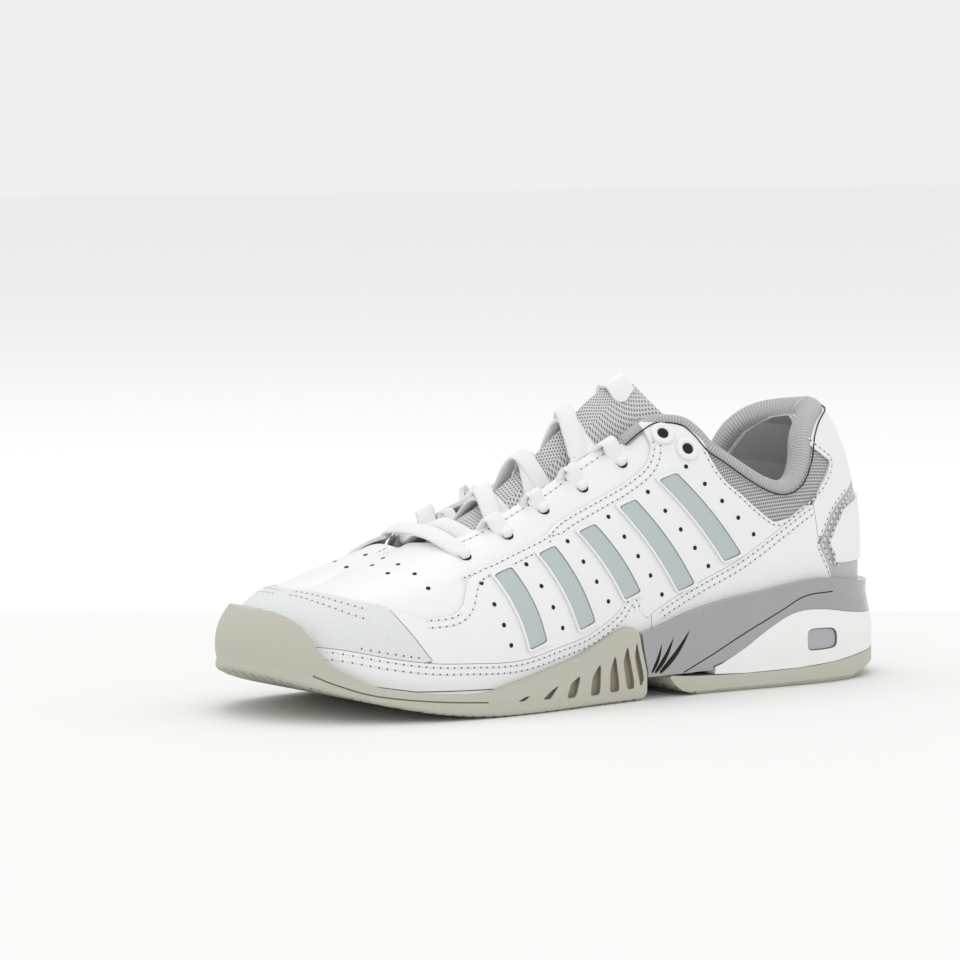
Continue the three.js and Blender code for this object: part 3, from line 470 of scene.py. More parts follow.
def makeKnit():
    # staggered oval holes of an open knit, on millimetre coordinates
    tree, given, out = newGroup(
        "openKnit", [("Vector", "NodeSocketVector"), ("Wide", "NodeSocketFloat", 1.6),
                     ("Tall", "NodeSocketFloat", 1.2), ("Hole", "NodeSocketFloat", 0.3)],
        [("Height", "NodeSocketFloat"), ("Hole", "NodeSocketFloat")])
    split = node(tree, "ShaderNodeSeparateXYZ")
    tree.links.new(given.outputs["Vector"], split.inputs[0])
    rowAt = maths(tree, "DIVIDE", split.outputs[1], given.outputs["Tall"])
    rowNumber = maths(tree, "FLOOR", rowAt)
    odd = maths(tree, "MULTIPLY", maths(tree, "FLOORED_MODULO", rowNumber, 2.0), 0.5)
    along = maths(tree, "FRACT", maths(tree, "ADD", maths(tree, "DIVIDE", split.outputs[0],
                                                          given.outputs["Wide"]), odd))
    du = maths(tree, "SUBTRACT", along, 0.5)
    dv = maths(tree, "SUBTRACT", maths(tree, "FRACT", rowAt), 0.5)
    away = maths(tree, "SQRT", maths(tree, "ADD", maths(tree, "MULTIPLY", du, du),
                                     maths(tree, "MULTIPLY", dv, dv)))
    ramp = node(tree, "ShaderNodeMapRange", interpolation_type="SMOOTHSTEP")
    tree.links.new(away, ramp.inputs["Value"])
    tree.links.new(maths(tree, "MULTIPLY", given.outputs["Hole"], 0.6), ramp.inputs["From Min"])
    tree.links.new(maths(tree, "MULTIPLY", given.outputs["Hole"], 1.35), ramp.inputs["From Max"])
    tree.links.new(ramp.outputs[0], out.inputs["Height"])
    tree.links.new(maths(tree, "SUBTRACT", 1.0, ramp.outputs[0]), out.inputs["Hole"])
    return tree


def makeRibs():
    # narrow cords running across a strip, on millimetre coordinates
    tree, given, out = newGroup("fineRibs", [("Vector", "NodeSocketVector"), ("Pitch", "NodeSocketFloat", 1.2)],
                                [("Height", "NodeSocketFloat"), ("Groove", "NodeSocketFloat")])
    split = node(tree, "ShaderNodeSeparateXYZ")
    tree.links.new(given.outputs["Vector"], split.inputs[0])
    swell = maths(tree, "ABSOLUTE", maths(tree, "SINE", maths(
        tree, "MULTIPLY", split.outputs[0], maths(tree, "DIVIDE", math.pi, given.outputs["Pitch"]))))
    tree.links.new(maths(tree, "POWER", swell, 0.6), out.inputs["Height"])
    tree.links.new(maths(tree, "SUBTRACT", 1.0, maths(tree, "POWER", swell, 0.3)), out.inputs["Groove"])
    return tree


def makeTread():
    # zigzag grooves on faces that look down
    tree, given, out = newGroup("zigzagTread", [("Vector", "NodeSocketVector"), ("Normal", "NodeSocketVector")],
                                [("Height", "NodeSocketFloat")])
    split, facing = node(tree, "ShaderNodeSeparateXYZ"), node(tree, "ShaderNodeSeparateXYZ")
    tree.links.new(given.outputs["Vector"], split.inputs[0])
    tree.links.new(given.outputs["Normal"], facing.inputs[0])
    zigzag = maths(tree, "MULTIPLY", maths(tree, "PINGPONG", split.outputs[1], 0.006), 1.1)
    line = maths(tree, "PINGPONG", maths(tree, "ADD", split.outputs[0], zigzag), 0.0022)
    groove = maths(tree, "MULTIPLY", maths(tree, "LESS_THAN", line, 0.0006),
                   maths(tree, "LESS_THAN", facing.outputs[2], -0.8))
    tree.links.new(maths(tree, "SUBTRACT", 1.0, groove), out.inputs["Height"])
    return tree


grain, tone, weave, knit, ribs, tread = (makeGrain(), makeTone(), makeWeave(), makeKnit(), makeRibs(), makeTread())


def useGroup(tree, group, **values):
    made = node(tree, "ShaderNodeGroup", node_tree=group)
    for key, value in values.items():
        if isinstance(value, (int, float, tuple)):
            made.inputs[key].default_value = value
        else:
            tree.links.new(value, made.inputs[key])
    return made


finishes = {
    # name: colour, roughness, extras
    "whiteSynthetic": {"colour": (0.86, 0.865, 0.875, 1), "roughness": 0.42, "grain": 1500, "bump": 0.05,
                       "drift": 0.02, "coat": 0.08},
    "toeTextile": {"colour": (0.8, 0.81, 0.82, 1), "roughness": 0.72, "weave": (0.62, 0.0), "bump": 0.4,
                   "drift": 0.02, "gapShade": 0.88},
    "collarMesh": {"colour": (0.56, 0.56, 0.565, 1), "roughness": 0.8, "knit": (1.15, 0.95, 0.33), "bump": 0.6,
                   "drift": 0.04, "holeShade": 0.2, "sheen": 0.25},
    "tongueMesh": {"colour": (0.7, 0.7, 0.705, 1), "roughness": 0.8, "knit": (1.35, 1.1, 0.3), "bump": 0.6,
                   "drift": 0.04, "holeShade": 0.26, "sheen": 0.25},
    "liningMesh": {"colour": (0.46, 0.46, 0.465, 1), "roughness": 0.85, "knit": (1.7, 1.3, 0.26), "bump": 0.5,
                   "drift": 0.05, "holeShade": 0.42, "sheen": 0.3},
    "ribbedKnit": {"colour": (0.5, 0.5, 0.505, 1), "roughness": 0.8, "ribs": 1.15, "bump": 0.8, "drift": 0.04,
                   "gapShade": 0.6, "sheen": 0.3},
    "blueGreyFilm": {"colour": (0.475, 0.535, 0.552, 1), "roughness": 0.36, "grain": 1800, "bump": 0.03,
                     "drift": 0.015, "coat": 0.15},
    "silverFoil": {"colour": (0.66, 0.665, 0.67, 1), "roughness": 0.3, "grain": 260, "bump": 0.35, "drift": 0.08,
                   "metal": 0.55},
    "greyTrim": {"colour": (0.5, 0.5, 0.505, 1), "roughness": 0.4, "grain": 1300, "bump": 0.05, "drift": 0.03,
                 "coat": 0.1},
    "puttyRubber": {"colour": (0.53, 0.515, 0.435, 1), "roughness": 0.62, "grain": 1100, "bump": 0.22,
                    "drift": 0.035, "tread": True},
    "whiteFoam": {"colour": (0.87, 0.87, 0.865, 1), "roughness": 0.5, "grain": 700, "bump": 0.06, "drift": 0.02},
    "shankPlastic": {"colour": (0.36, 0.36, 0.37, 1), "roughness": 0.24, "grain": 160, "bump": 0.04,
                     "drift": 0.1, "metal": 0.25, "coat": 0.35},
    # near black for the walls of the shank's fins and crease: painted shade in the recesses
    "recessShadeDark": {"colour": (0.085, 0.07, 0.055, 1), "roughness": 0.7, "grain": 900, "bump": 0.4, "drift": 0.1},
    # darker putty for the walls of the flutes and parting grooves: painted shade in the recesses
    "recessShadePutty": {"colour": (0.3, 0.275, 0.215, 1), "roughness": 0.85, "grain": 420, "bump": 0.8,
                    "drift": 0.14},
    "windowGrey": {"colour": (0.42, 0.43, 0.45, 1), "roughness": 0.28, "grain": 300, "bump": 0.05, "drift": 0.1,
                   "metal": 0.3, "coat": 0.3},
    "labelWhite": {"colour": (0.84, 0.85, 0.865, 1), "roughness": 0.35, "grain": 1500, "bump": 0.04,
                   "drift": 0.02, "coat": 0.2},
    "laceWeave": {"colour": (0.9, 0.9, 0.91, 1), "roughness": 0.75, "weave": (0.55, 1.0), "bump": 0.35,
                  "drift": 0.02, "gapShade": 0.93, "sheen": 0.2},
    "thread": {"colour": (0.78, 0.785, 0.79, 1), "roughness": 0.7, "grain": 2500, "bump": 0.2, "drift": 0.02},
    # dark for the needle-hole dots and the line round each stripe bar: painted shade
    "paintedShadeDark": {"colour": (0.16, 0.155, 0.15, 1), "roughness": 0.9, "grain": 2500, "bump": 0.1, "drift": 0.1},
    # near black: painted shade in the perforations and eyelet holes, and the collar's dark piping line
    "blackShadeAndPiping": {"colour": (0.012, 0.012, 0.013, 1), "roughness": 0.9, "grain": 1500, "bump": 0.1,
                 "drift": 0.1},
    "flexTextile": {"colour": (0.72, 0.72, 0.73, 1), "roughness": 0.75, "ribs": 1.25, "bump": 0.9, "drift": 0.02,
                    "gapShade": 0.3},
    "stiffBoard": {"colour": (0.6, 0.57, 0.48, 1), "roughness": 0.8, "grain": 500, "bump": 0.2, "drift": 0.06},
    "openFoam": {"colour": (0.72, 0.7, 0.6, 1), "roughness": 0.95, "grain": 1600, "bump": 0.7, "drift": 0.06}}


def makeFinish(name):
    facts = finishes[name]
    material = bpy.data.materials.new(name)
    material.use_nodes = True
    tree = material.node_tree
    shader = tree.nodes["Principled BSDF"]
    place = node(tree, "ShaderNodeTexCoord")
    uv = place.outputs["UV"]
    drift = useGroup(tree, tone, Vector=place.outputs["Object"], Colour=facts["colour"],
                     Drift=facts["drift"], Roughness=facts["roughness"])
    colour, height, reach = drift.outputs["Colour"], None, 0.0004
    if "grain" in facts:
        height = useGroup(tree, grain, Vector=place.outputs["Object"], Scale=facts["grain"]).outputs["Height"]
        reach = 0.00025
    shade = None
    if "weave" in facts:
        pitch, slant = facts["weave"]
        made = useGroup(tree, weave, Vector=uv, Pitch=pitch, Slant=slant)
        height, shade, depth = made.outputs["Height"], made.outputs["Gap"], facts["gapShade"]
    if "knit" in facts:
        wide, tall, hole = facts["knit"]
        made = useGroup(tree, knit, Vector=uv, Wide=wide, Tall=tall, Hole=hole)
        height, shade, depth = made.outputs["Height"], made.outputs["Hole"], facts["holeShade"]
    if "ribs" in facts:
        made = useGroup(tree, ribs, Vector=uv, Pitch=facts["ribs"])
        height, shade, depth = made.outputs["Height"], made.outputs["Groove"], facts["gapShade"]
    if shade is not None:
        darken = node(tree, "ShaderNodeMix", data_type="RGBA", blend_type="MULTIPLY")
        tree.links.new(shade, darken.inputs["Factor"])
        tree.links.new(colour, darken.inputs["A"])
        darken.inputs["B"].default_value = (depth, depth, depth, 1)
        colour = darken.outputs["Result"]
    bump = node(tree, "ShaderNodeBump")
    if "tread" in facts:
        shape = node(tree, "ShaderNodeNewGeometry")
        zigzag = useGroup(tree, tread, Vector=place.outputs["Object"], Normal=shape.outputs["Normal"])
        lower = node(tree, "ShaderNodeBump")
        lower.inputs["Distance"].default_value = 0.0012
        tree.links.new(zigzag.outputs["Height"], lower.inputs["Height"])
        tree.links.new(lower.outputs["Normal"], bump.inputs["Normal"])
        # painted shade: the tread grooves are darkened in the colour as well as bumped
        darken = node(tree, "ShaderNodeMix", data_type="RGBA", blend_type="MULTIPLY")
        tree.links.new(maths(tree, "SUBTRACT", 1.0, zigzag.outputs["Height"]), darken.inputs["Factor"])
        tree.links.new(colour, darken.inputs["A"])
        darken.inputs["B"].default_value = (0.45, 0.45, 0.45, 1)
        colour = darken.outputs["Result"]
    bump.inputs["Strength"].default_value = facts["bump"]
    bump.inputs["Distance"].default_value = reach
    tree.links.new(height, bump.inputs["Height"])
    tree.links.new(bump.outputs["Normal"], shader.inputs["Normal"])
    tree.links.new(colour, shader.inputs["Base Color"])
    tree.links.new(drift.outputs["Roughness"], shader.inputs["Roughness"])
    shader.inputs["Metallic"].default_value = facts.get("metal", 0.0)
    shader.inputs["Coat Weight"].default_value = facts.get("coat", 0.0)
    shader.inputs["Sheen Weight"].default_value = facts.get("sheen", 0.0)
    return material


material = {name: makeFinish(name) for name in finishes}


def dress(piece, *names):
    piece.data.materials.clear()
    for name in names:
        piece.data.materials.append(material[name])


# Outlines of the upper, in the last's millimetres

seams = {
    "topline": [(39, 103.3), (44, 101.5), (48, 98), (52, 92), (58, 88), (66, 82.5), (74, 78), (82, 76), (89, 79),
                (94, 86), (99, 96), (106, 102), (116, 105), (128, 106), (150, 107)],
    "throat": [(-64, 2), (-62, -12), (-56, -18.5), (-42.5, -19.4), (-34, -19), (-17, -17.7), (-5, -15.6),
               (10, -14), (27, -13), (34, -12.6), (39, -14), (60, -14)],
    "toePlan": [(-84, 37.5), (-97, 34), (-106, 26), (-111, 15), (-112.5, 5), (-111, -5), (-107.5, -18),
                (-103, -27), (-97, -33.5)],
    "toeRear": [(-95, 39), (-93, 35), (-90, 30), (-87, 25), (-84.5, 21.4)],
    "fox": [(-120, 26.5), (-112, 25.5), (-99, 22.6), (-85, 20.4), (-71.5, 19.6), (-49, 19), (-29, 22.4),
            (-16, 25), (-6, 29), (1, 33), (5, 37.5), (9, 38.5), (11.7, 36), (12.5, 31.5), (15, 29.5), (16.8, 30.6)],
    "rear": [(17.2, 31), (28.6, 36), (41, 41), (59, 48), (77, 57.6), (88, 63.6), (95, 67)],
    "eyestay": [(-96, 39), (-90, 38), (-84.6, 36), (-78.5, 36), (-73, 36.8), (-68.6, 39.7), (-65.8, 43.8),
                (-62.7, 48), (-58, 51), (-51, 53), (-39, 57), (-27, 61), (-18, 66), (0, 72.7), (13, 77.6),
                (23, 83), (28, 89), (28.5, 94), (26, 104)],
    "mesh": [(50.5, 96), (50, 88), (55, 78), (62, 72), (69, 66), (77, 61), (83.5, 63), (90, 67), (100, 73),
             (107, 81), (104, 84), (96, 89.5), (93, 96)],
    "piping": [(128, 75), (115, 69), (106, 63), (100, 55), (98, 51.5), (101, 46), (104, 41), (105, 36), (106, 24)],
    "patch": [(150, 71), (116, 65), (109, 60), (104.5, 54.5), (103, 51.5), (106, 47.5), (109.5, 44), (150, 45)],
    "textileRear": [(-58, 64), (-52, 52), (-46, 43), (-38, 33), (-31, 24), (-30, 8)],
    "medialEyestay": [(-46, 43), (-39, 49), (-27, 56), (-18, 62), (0, 70), (13, 75.5), (23, 81.5), (28, 88),
                      (28.5, 94), (26, 104)],
    "medialFox": [(-29.5, 22), (-16, 25), (0, 28), (16.8, 31)]}

curve = {name: [tuple(p) for p in smoothCurve(points, False, 5)] for name, points in seams.items()}
gap = 0.2


def moved(points, dx=0.0, dy=0.0):
    return [(x + dx, y + dy) for x, y in points]


def spineYAt(x):
    return np.interp(x, spineLine[:, 0], spineLine[:, 1])


def offsetLine(points, d):
    rows = np.array(points, float)
    step = unit(np.gradient(rows, axis=0))
    return rows + np.stack([-step[:, 1], step[:, 0]], -1) * d


def openingTools(drop, widen, front=18):
    rimFront = [(29, 103.9), (34, 103.7)]
    above = fullPrism(moved(rimFront + curve["topline"], 0, -drop) + [(150, 150), (29, 150)])
    near = [(x, y - widen * min(max((x - front + 4) / 4, 0), 1)) for x, y in curve["throat"]]
    far = [(x, 2 * spineYAt(x) - y) for x, y in near[1:]][::-1]
    return [above, prism(near + far, 2, 40, 150)]


def openUp(piece, drop=4.9, widen=2.6):
    for tool in openingTools(drop, widen):
        cut(piece, tool, "DIFFERENCE")


def footAt(x):
    return math.acos(1 - 2 * min(max((x - last["toeX"]) / (last["heelX"] - last["toeX"]), 0), 1)) / math.pi


def sheetOver(name, offset, xRange, sRange, step=1.6, swell=None):
    # a fine sheet of the last between two x, wide enough at the feather and at the spine
    spread = [277 * (x + 106) / 198 - 139 for x in xRange]
    low = max(footAt(min(xRange[0], spread[0])) - 0.01, 0)
    high = min(footAt(max(xRange[1], spread[1])) + 0.01, 1)
    if xRange[1] > last["heelX"]:  # round the heel from one side to the other
        high, sRange = 2 - low, (-1.12, -0.1)
    across = max(int((high - low) * 320 / step), 8)
    along = max(int(abs(sRange[1] - sRange[0]) * 95 / step), 8)
    return lastSheet(name, offset, (low, high), sRange, across, along, swell)


def cutPanel(name, offset, xRange, sRange, keepers, removers=(), thickness=1.2, finish="whiteSynthetic",
             node=None, opened=True, step=1.6, swell=None):
    piece = sheetOver(name, offset, xRange, sRange, step, swell)
    thicken(piece, thickness)
    for tool in keepers:
        cut(piece, tool)
    for tool in removers:
        cut(piece, tool, "DIFFERENCE")
    if opened:
        openUp(piece)
    smooth(piece, 40)
    dress(piece, finish)
    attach(piece, "shoe")
    if node:
        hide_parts(node)
    return piece


over, under, raised = 1.2, -0.4, 2.2
lateralS, medialS, fullS = (-1.12, 0.06), (-0.06, 1.12), (-1.12, 1.12)
made = {}

# toe cap of woven textile, running back along the medial side
plan = [(-150, -90), (-84, -90), (-84, -46)] + curve["toePlan"][::-1] + [(-76, 38), (-70, 33), (-64, 14), (-20, 14), (-20, 90),
                                                         (-150, 90)]
foxFront = [p for p in curve["fox"] if p[0] < -85]
sideOut = [(-150, -20), (-150, 27)] + moved(foxFront, 0, gap) + moved(curve["toeRear"][::-1], -gap) \
    + [(-95, 60), (60, 60), (60, -20)]
made["toeCap"] = cutPanel("toeCap", over, (-140, -20), fullS, [prism(plan, 2, 0, 150)],
                          [sidePrism(lateral, sideOut), sidePrism(medial, moved(curve["textileRear"], -gap)
                                                                  + [(-30, -20), (60, -20), (60, 95), (-58, 95)])],
                          finish="toeTextile", node="toe_cap")

# vamp and lateral eyestay, one soft sheet under the overlays
vampSide = [(-150, -20), (-70, -20), (-52, 40), (-18, 56), (13, 68), (30, 76), (36, 84), (36, 120), (-150, 120)]
vampFar = [(-74, -20), (60, -20), (60, 120), (-150, 120), (-150, 110), (-66, 70)]
made["vamp"] = cutPanel("vamp", under, (-140, 36), fullS, [fullPrism(vampSide)],
                        [sidePrism(medial, [(-74, -20), (60, -20), (60, 120), (-66, 120), (-66, 70)])],
                        node="vamp")
front = [(-60, 70), (-60, 120)]
made["eyestayMedial"] = cutPanel(
    "eyestayMedial", under, (-62, 36), medialS,
    [sidePrism(medial, [(-60, 120), (-60, 70)] + moved(curve["textileRear"][5:11], gap)
               + moved(curve["medialEyestay"][5:], 0, -8) + [(36, 84), (36, 120)])], node="eyestay_medial")

quarterRear = moved(curve["mesh"][:26], -gap) + [(84, 62.2), (91, 66.4)] + moved(curve["rear"], 0, gap)[::-1][1:]
made["quarterLateral"] = cutPanel(
    "quarterLateral", over, (-100, 95), lateralS,
    [sidePrism(lateral, moved(curve["toeRear"], gap)[::-1] + moved(curve["eyestay"][2:], 0, -gap) + [(54, 108)]
               + quarterRear + moved(curve["fox"], 0, gap)[::-1][1:-15])], node="quarter_lateral")
made["quarterMedial"] = cutPanel(
    "quarterMedial", over, (-50, 95), medialS,
    [sidePrism(medial, moved(curve["textileRear"][10:21], gap)[::-1] + curve["medialEyestay"][3:] + [(54, 108)]
               + quarterRear + moved(curve["medialFox"], 0, gap)[::-1])], node="quarter_medial")

for side, word, sRange, seam in ((lateral, "Lateral", lateralS, "fox"), (medial, "Medial", medialS, "medialFox")):
    line = curve[seam]
    made["foxing" + word] = cutPanel(
        "foxing" + word, over, (line[0][0] - 6, 20), sRange,
        [sidePrism(side, [(line[0][0], -20)] + line + [(16.8, -20)])], node="foxing_" + word.lower(), opened=False)
    made["rearFoxing" + word] = cutPanel(
        "rearFoxing" + word, over, (12, 108), sRange,
        [sidePrism(side, [(17.2, -20)] + curve["rear"][:-1] + [(95.2, 66.4), (97, 53)]
                   + moved(curve["piping"][20:], -gap) + [(105.6, -20)])],
        node="rear_foxing_" + word.lower(), opened=False)
    made["collarMesh" + word] = cutPanel(
        "collarMesh" + word, under + 0.35, (42, 115), sRange,
        [sidePrism(side, [(47, 112)] + [tuple(p) for p in offsetLine(curve["mesh"], -2.5)] + [(93, 112)])],
        finish="collarMesh",
        node="collar_mesh_" + word.lower())

meshRear = moved(curve["mesh"][40:], 0.3)
made["heelPanel"] = cutPanel(
    "heelPanel", over, (85, 150), fullS,
    [fullPrism([(150, 77)] + moved(curve["piping"][:16], -gap, gap) + [(97.3, 53.2), (95.5, 66.6)] + meshRear
               + [(92, 115), (150, 115)])], node="heel_panel")
made["heelTrim"] = cutPanel("heelTrim", over, (95, 150), fullS, [fullPrism([(150, 76)] + curve["piping"] + [(150, 24)])],
                            finish="greyTrim", node="heel_trim", opened=False)
made["backPatch"] = cutPanel("backPatch", raised, (98, 150), fullS, [fullPrism(curve["patch"])], thickness=0.9,
                             node="back_patch", opened=False)
made["flexPatch"] = cutPanel("flexPatch", raised, (-66, -38), medialS,
                             [sidePrism(medial, [(-60, 47), (-55, 52), (-44, 39), (-47, 33)])], thickness=0.9,
                             finish="flexTextile", node="flex_patch", opened=False)
print("upper panels made")


# Swept bodies

def sweep(name, centres, wide, thick, halfWide, halfThick, sides=16, power=2.0):
    # a closed tube: rings of a rounded section at the centres, its ends drawn in by the half sizes given
    count = len(centres)
    run = np.concatenate([[0], np.cumsum(np.linalg.norm(np.diff(centres, axis=0), axis=1))])
    halfWide, halfThick = np.broadcast_to(halfWide, count), np.broadcast_to(halfThick, count)
    around = np.pi * (halfWide.max() + halfThick.max())

    def placeAt(u, v):
        i = np.rint(u * (count - 1)).astype(int)
        a = 2 * np.pi * np.rint(v * sides) / sides
        c, d = np.cos(a), np.sin(a)
        c, d = np.sign(c) * np.abs(c) ** (2 / power), np.sign(d) * np.abs(d) ** (2 / power)
        return centres[i] + wide[i] * (c * halfWide[i])[:, None] + thick[i] * (d * halfThick[i])[:, None]

    piece = shapedGrid(name, count - 1, sides, placeAt,
                       lambda u, v: np.stack([run[np.rint(u * (count - 1)).astype(int)], v * around], -1))
    mergeClose(piece)
    faceOut(piece)
    smooth(piece, 60)
    return piece


def tapered(count, full, ends, run):
    # the size shrinks round at both ends of the run
    near = np.minimum(run, run[-1] - run)
    return full * np.sqrt(np.clip(1 - (1 - np.clip(near / ends, 0, 1)) ** 2, 0, 1))


def runOf(points):
    return np.concatenate([[0], np.cumsum(np.linalg.norm(np.diff(points, axis=0), axis=1))])


# Sole

sole = {"outer": 4.6, "core": 1.6, "edge": 2.0, "tread": 3.6,
        "spring": (-50, 80, 15), "bevel": (112, 0.2),
        "flare": [(-140, 0.3), (-80, 0.8), (0, 0.3), (30, 0.3), (70, 1), (110, 2), (140, 2.5)],
        "bumper": [(-150, 38.2), (-127, 38.2), (-124, 35), (-122.5, 31), (-121, 26.5), (-118, 20.7), (-112, 16.6),
                   (-105, 13.2), (-94, 10.8), (-80, 9.4), (-66, 9.1), (-53, 11.5), (-43, 13.7), (-33, 16.1),
                   (-22, 18.6), (-12, 22), (-2, 26), (3, 27.2), (6.5, 26.6), (8.4, 24), (12, 10), (12, 3),
                   (10.5, 0.8), (8, -5)],
        "bumperMedial": [(-150, 38.2), (-125, 38.2), (-121, 33), (-118, 27), (-112, 22.5), (-100, 19.5), (-80, 18),
                         (-40, 17), (0, 17.5), (9, 18.5), (11, 17), (12, 10), (12, 3), (10.5, 0.8), (8, -5)],
        "heelTop": [(24, 8), (36, 7), (59, 6.4), (84, 6.7), (102, 7.8), (128, 10.6), (150, 15)],
        "heelNose": [(24, 8), (23.6, 7.2), (26, 4.5), (30, 2), (36, 0.4), (40, -5)],
        "shankLow": [(30, 8.4), (36, 8.6), (48, 11.2), (59, 16), (72, 23.2), (84, 27.6), (97, 27.8), (112, 25.7),
                     (126, 24.4), (150, 24)],
        "shankTop": [(9.6, 24.5), (18, 26.1), (35, 30.8), (51, 34), (67, 36.1), (84, 38.4), (97, 39.4), (112, 37.6),
                     (126, 36), (150, 35)],
        "window": [(88, 13.4), (90, 12.6), (101, 12.9), (103, 14.2), (103, 19), (101, 20.7), (90, 21), (88, 19.3)],
        "parting": [(-122, 16.8), (-117, 14), (-106, 10.1), (-87, 7.5), (-65, 5.9)],
        "partingMedial": [(-116, 14), (-108, 11.6), (-96, 9.6), (-80, 8.2), (-40, 7.2), (0, 7.4)],
        "crease": [(30, 8.7), (44, 14.5), (59, 21.3), (76, 28.3), (88, 33.2), (102, 34)],
        "flutes": [[(-52, 5.2), (-49, 5.2), (-46.2, 6.8), (-48.6, 6.6)],
                   [(-40.5, 5), (-36.8, 4.8), (-32.2, 9.6), (-37, 7.4)],
                   [(-28.6, 4.4), (-24, 4.3), (-21.2, 12), (-26.4, 9.6)],
                   [(-16.6, 4.2), (-11.6, 4.1), (-10.8, 15.6), (-15.4, 10.8)],
                   [(-6.6, 4.4), (-1.6, 4.5), (-3.4, 18.2), (-6.4, 12)],
                   [(2, 4.8), (6, 4.9), (2.6, 21.2), (0.2, 14.6)],
                   [(8.8, 5), (10.6, 8), (7, 22.4), (6, 15.6)]],
        "fins": [((14.4, 9.9), (19.6, 20.4), 1.5), ((16, 9.7), (25.5, 22.4), 1.9), ((18.4, 9.5), (33.5, 24.4), 2.1),
                 ((21.4, 9.4), (47, 26.5), 2.7), ((25.6, 9.2), (55, 26.4), 3.1)]}


def floorAt(x):
    start, length, height = sole["spring"]
    bevelX, slope = sole["bevel"]
    x = np.asarray(x, float)
    return np.where(x < start, height * ((start - x) / length) ** 2, np.maximum(x - bevelX, 0) * slope)


soleRows = [("floor", k / 10) for k in range(10)] + [("wall", k / 16) for k in range(16)] \
    + [("last", 1 - k / 20) for k in range(41)] + [("far", 1 - k / 16) for k in range(1, 17)]


def soleBody(name, offset, drop=0.0, flared=True, stations=250):
    def wallPoint(w, side, row):
        x, y = footPoint(w, side + 0 * w)
        nx, ny = footNormal(w, side + 0 * w)
        ground = floorAt(x) - drop
        high = row * (featherAt(x) - ground)
        out = offset
        if flared:
            lip = np.clip(1 - high / sole["edge"], 0, 1)
            out = offset + byX(sole["flare"], x) * np.minimum(1, (1 - row) * 2.2) \
                - sole["edge"] * (1 - np.sqrt(1 - lip ** 2))
        px, py = x + nx * out, y + ny * out
        ground = floorAt(px) - drop
        return np.stack([px, py, ground + row * (featherAt(x) - ground)], -1)

    def placeAt(u, v):
        rows = np.rint(v * (len(soleRows) - 1)).astype(int)
        out = np.zeros((len(u), 3))
        for k, (kind, value) in enumerate(soleRows):
            pick = rows == k
            w = u[pick]
            if kind == "floor":
                a, b = wallPoint(w, -1, 0), wallPoint(w, 1, 0)
                p = a + (b - a) * value
                p[:, 2] = floorAt(p[:, 0]) - drop
            elif kind == "last":
                p = lastPoint(w, value + 0 * w) + lastNormal(w, value + 0 * w) * offset
            else:
                p = wallPoint(w, 1 if kind == "wall" else -1, value)
            out[pick] = p
        return out

    piece = shapedGrid(name, stations, len(soleRows) - 1, placeAt)
    mergeClose(piece, 4e-6)
    faceOut(piece)
    return piece


def copyOf(piece, name):
    active(piece)
    bpy.ops.object.duplicate()
    bpy.context.object.name = name
    return bpy.context.object


def bandAlong(line, width):
    # a thin closed outline on both sides of a line
    rows = smoothCurve(line, False, 5)
    step = np.gradient(rows, axis=0)
    across = np.stack([-step[:, 1], step[:, 0]], -1)
    across /= np.linalg.norm(across, axis=1, keepdims=True)
    return [tuple(p) for p in rows + across * width / 2] + [tuple(p) for p in (rows - across * width / 2)[::-1]]


def rounded(points, perSpan=4, tight=0.24):
    # an outline with its corners cut round
    rows = np.array(points, float)
    out = []
    for i, p in enumerate(rows):
        a, b = rows[i - 1], rows[(i + 1) % len(rows)]
        for k in range(perSpan + 1):
            f = k / perSpan
            start, end = p + (a - p) * tight, p + (b - p) * tight
            out.append(tuple((1 - f) ** 2 * start + 2 * f * (1 - f) * p + f ** 2 * end))
    return out


def leaf(foot, tip, width, steps=9):
    # a slender pointed outline, widest below its middle
    foot, tip = np.array(foot), np.array(tip)
    across = unit(np.array([[-(tip - foot)[1], (tip - foot)[0]]]))[0]
    f = np.linspace(0, 1, steps)
    half = width / 2 * np.sin(np.pi * (0.06 + 0.94 * f) ** 0.7) ** 0.8
    mid = foot + (tip - foot) * f[:, None] - across * (width * 0.5 * np.sin(np.pi * f))[:, None]
    sides = [mid + across * half[:, None], (mid - across * half[:, None])[::-1][1:]]
    return [tuple(q) for q in np.vstack(sides)]


def pocketTool(outlines, side, inner, finish):
    tools = [sidePrism(side, points) for points in outlines]
    tool = joined(tools, "pocket")
    cut(tool, inner, "DIFFERENCE", keep=True)
    dress(tool, finish)
    return tool


whole = soleBody("soleWhole", sole["outer"])
core = soleBody("soleCore", sole["core"], 3.0, False)
shallow = soleBody("soleShallow", sole["outer"] - 0.5)
deep = soleBody("soleDeep", sole["outer"] - 1.7)
print("sole bodies made")

bumper = copyOf(whole, "outsoleForefoot")
dress(bumper, "puttyRubber")
topEdge = [tuple(p) for p in smoothCurve(sole["bumper"][1:-4], False, 4)] + sole["bumper"][-4:]
cut(bumper, sidePrism(lateral, topEdge + [(180, -20), (180, 160), (-180, 160), (-180, 38.2)]), "DIFFERENCE")
topEdge = [tuple(p) for p in smoothCurve(sole["bumperMedial"][1:-4], False, 4)] + sole["bumperMedial"][-4:]
cut(bumper, sidePrism(medial, topEdge + [(180, -20), (180, 160), (-180, 160), (-180, 38.2)]), "DIFFERENCE")
hollow = copyOf(core, "hollow")
treadTop = [(x, float(floorAt(x)) + sole["tread"]) for x in np.linspace(-160, 160, 60)]
cut(hollow, fullPrism(treadTop + [(160, 200), (-160, 200)]))
cut(bumper, hollow, "DIFFERENCE")
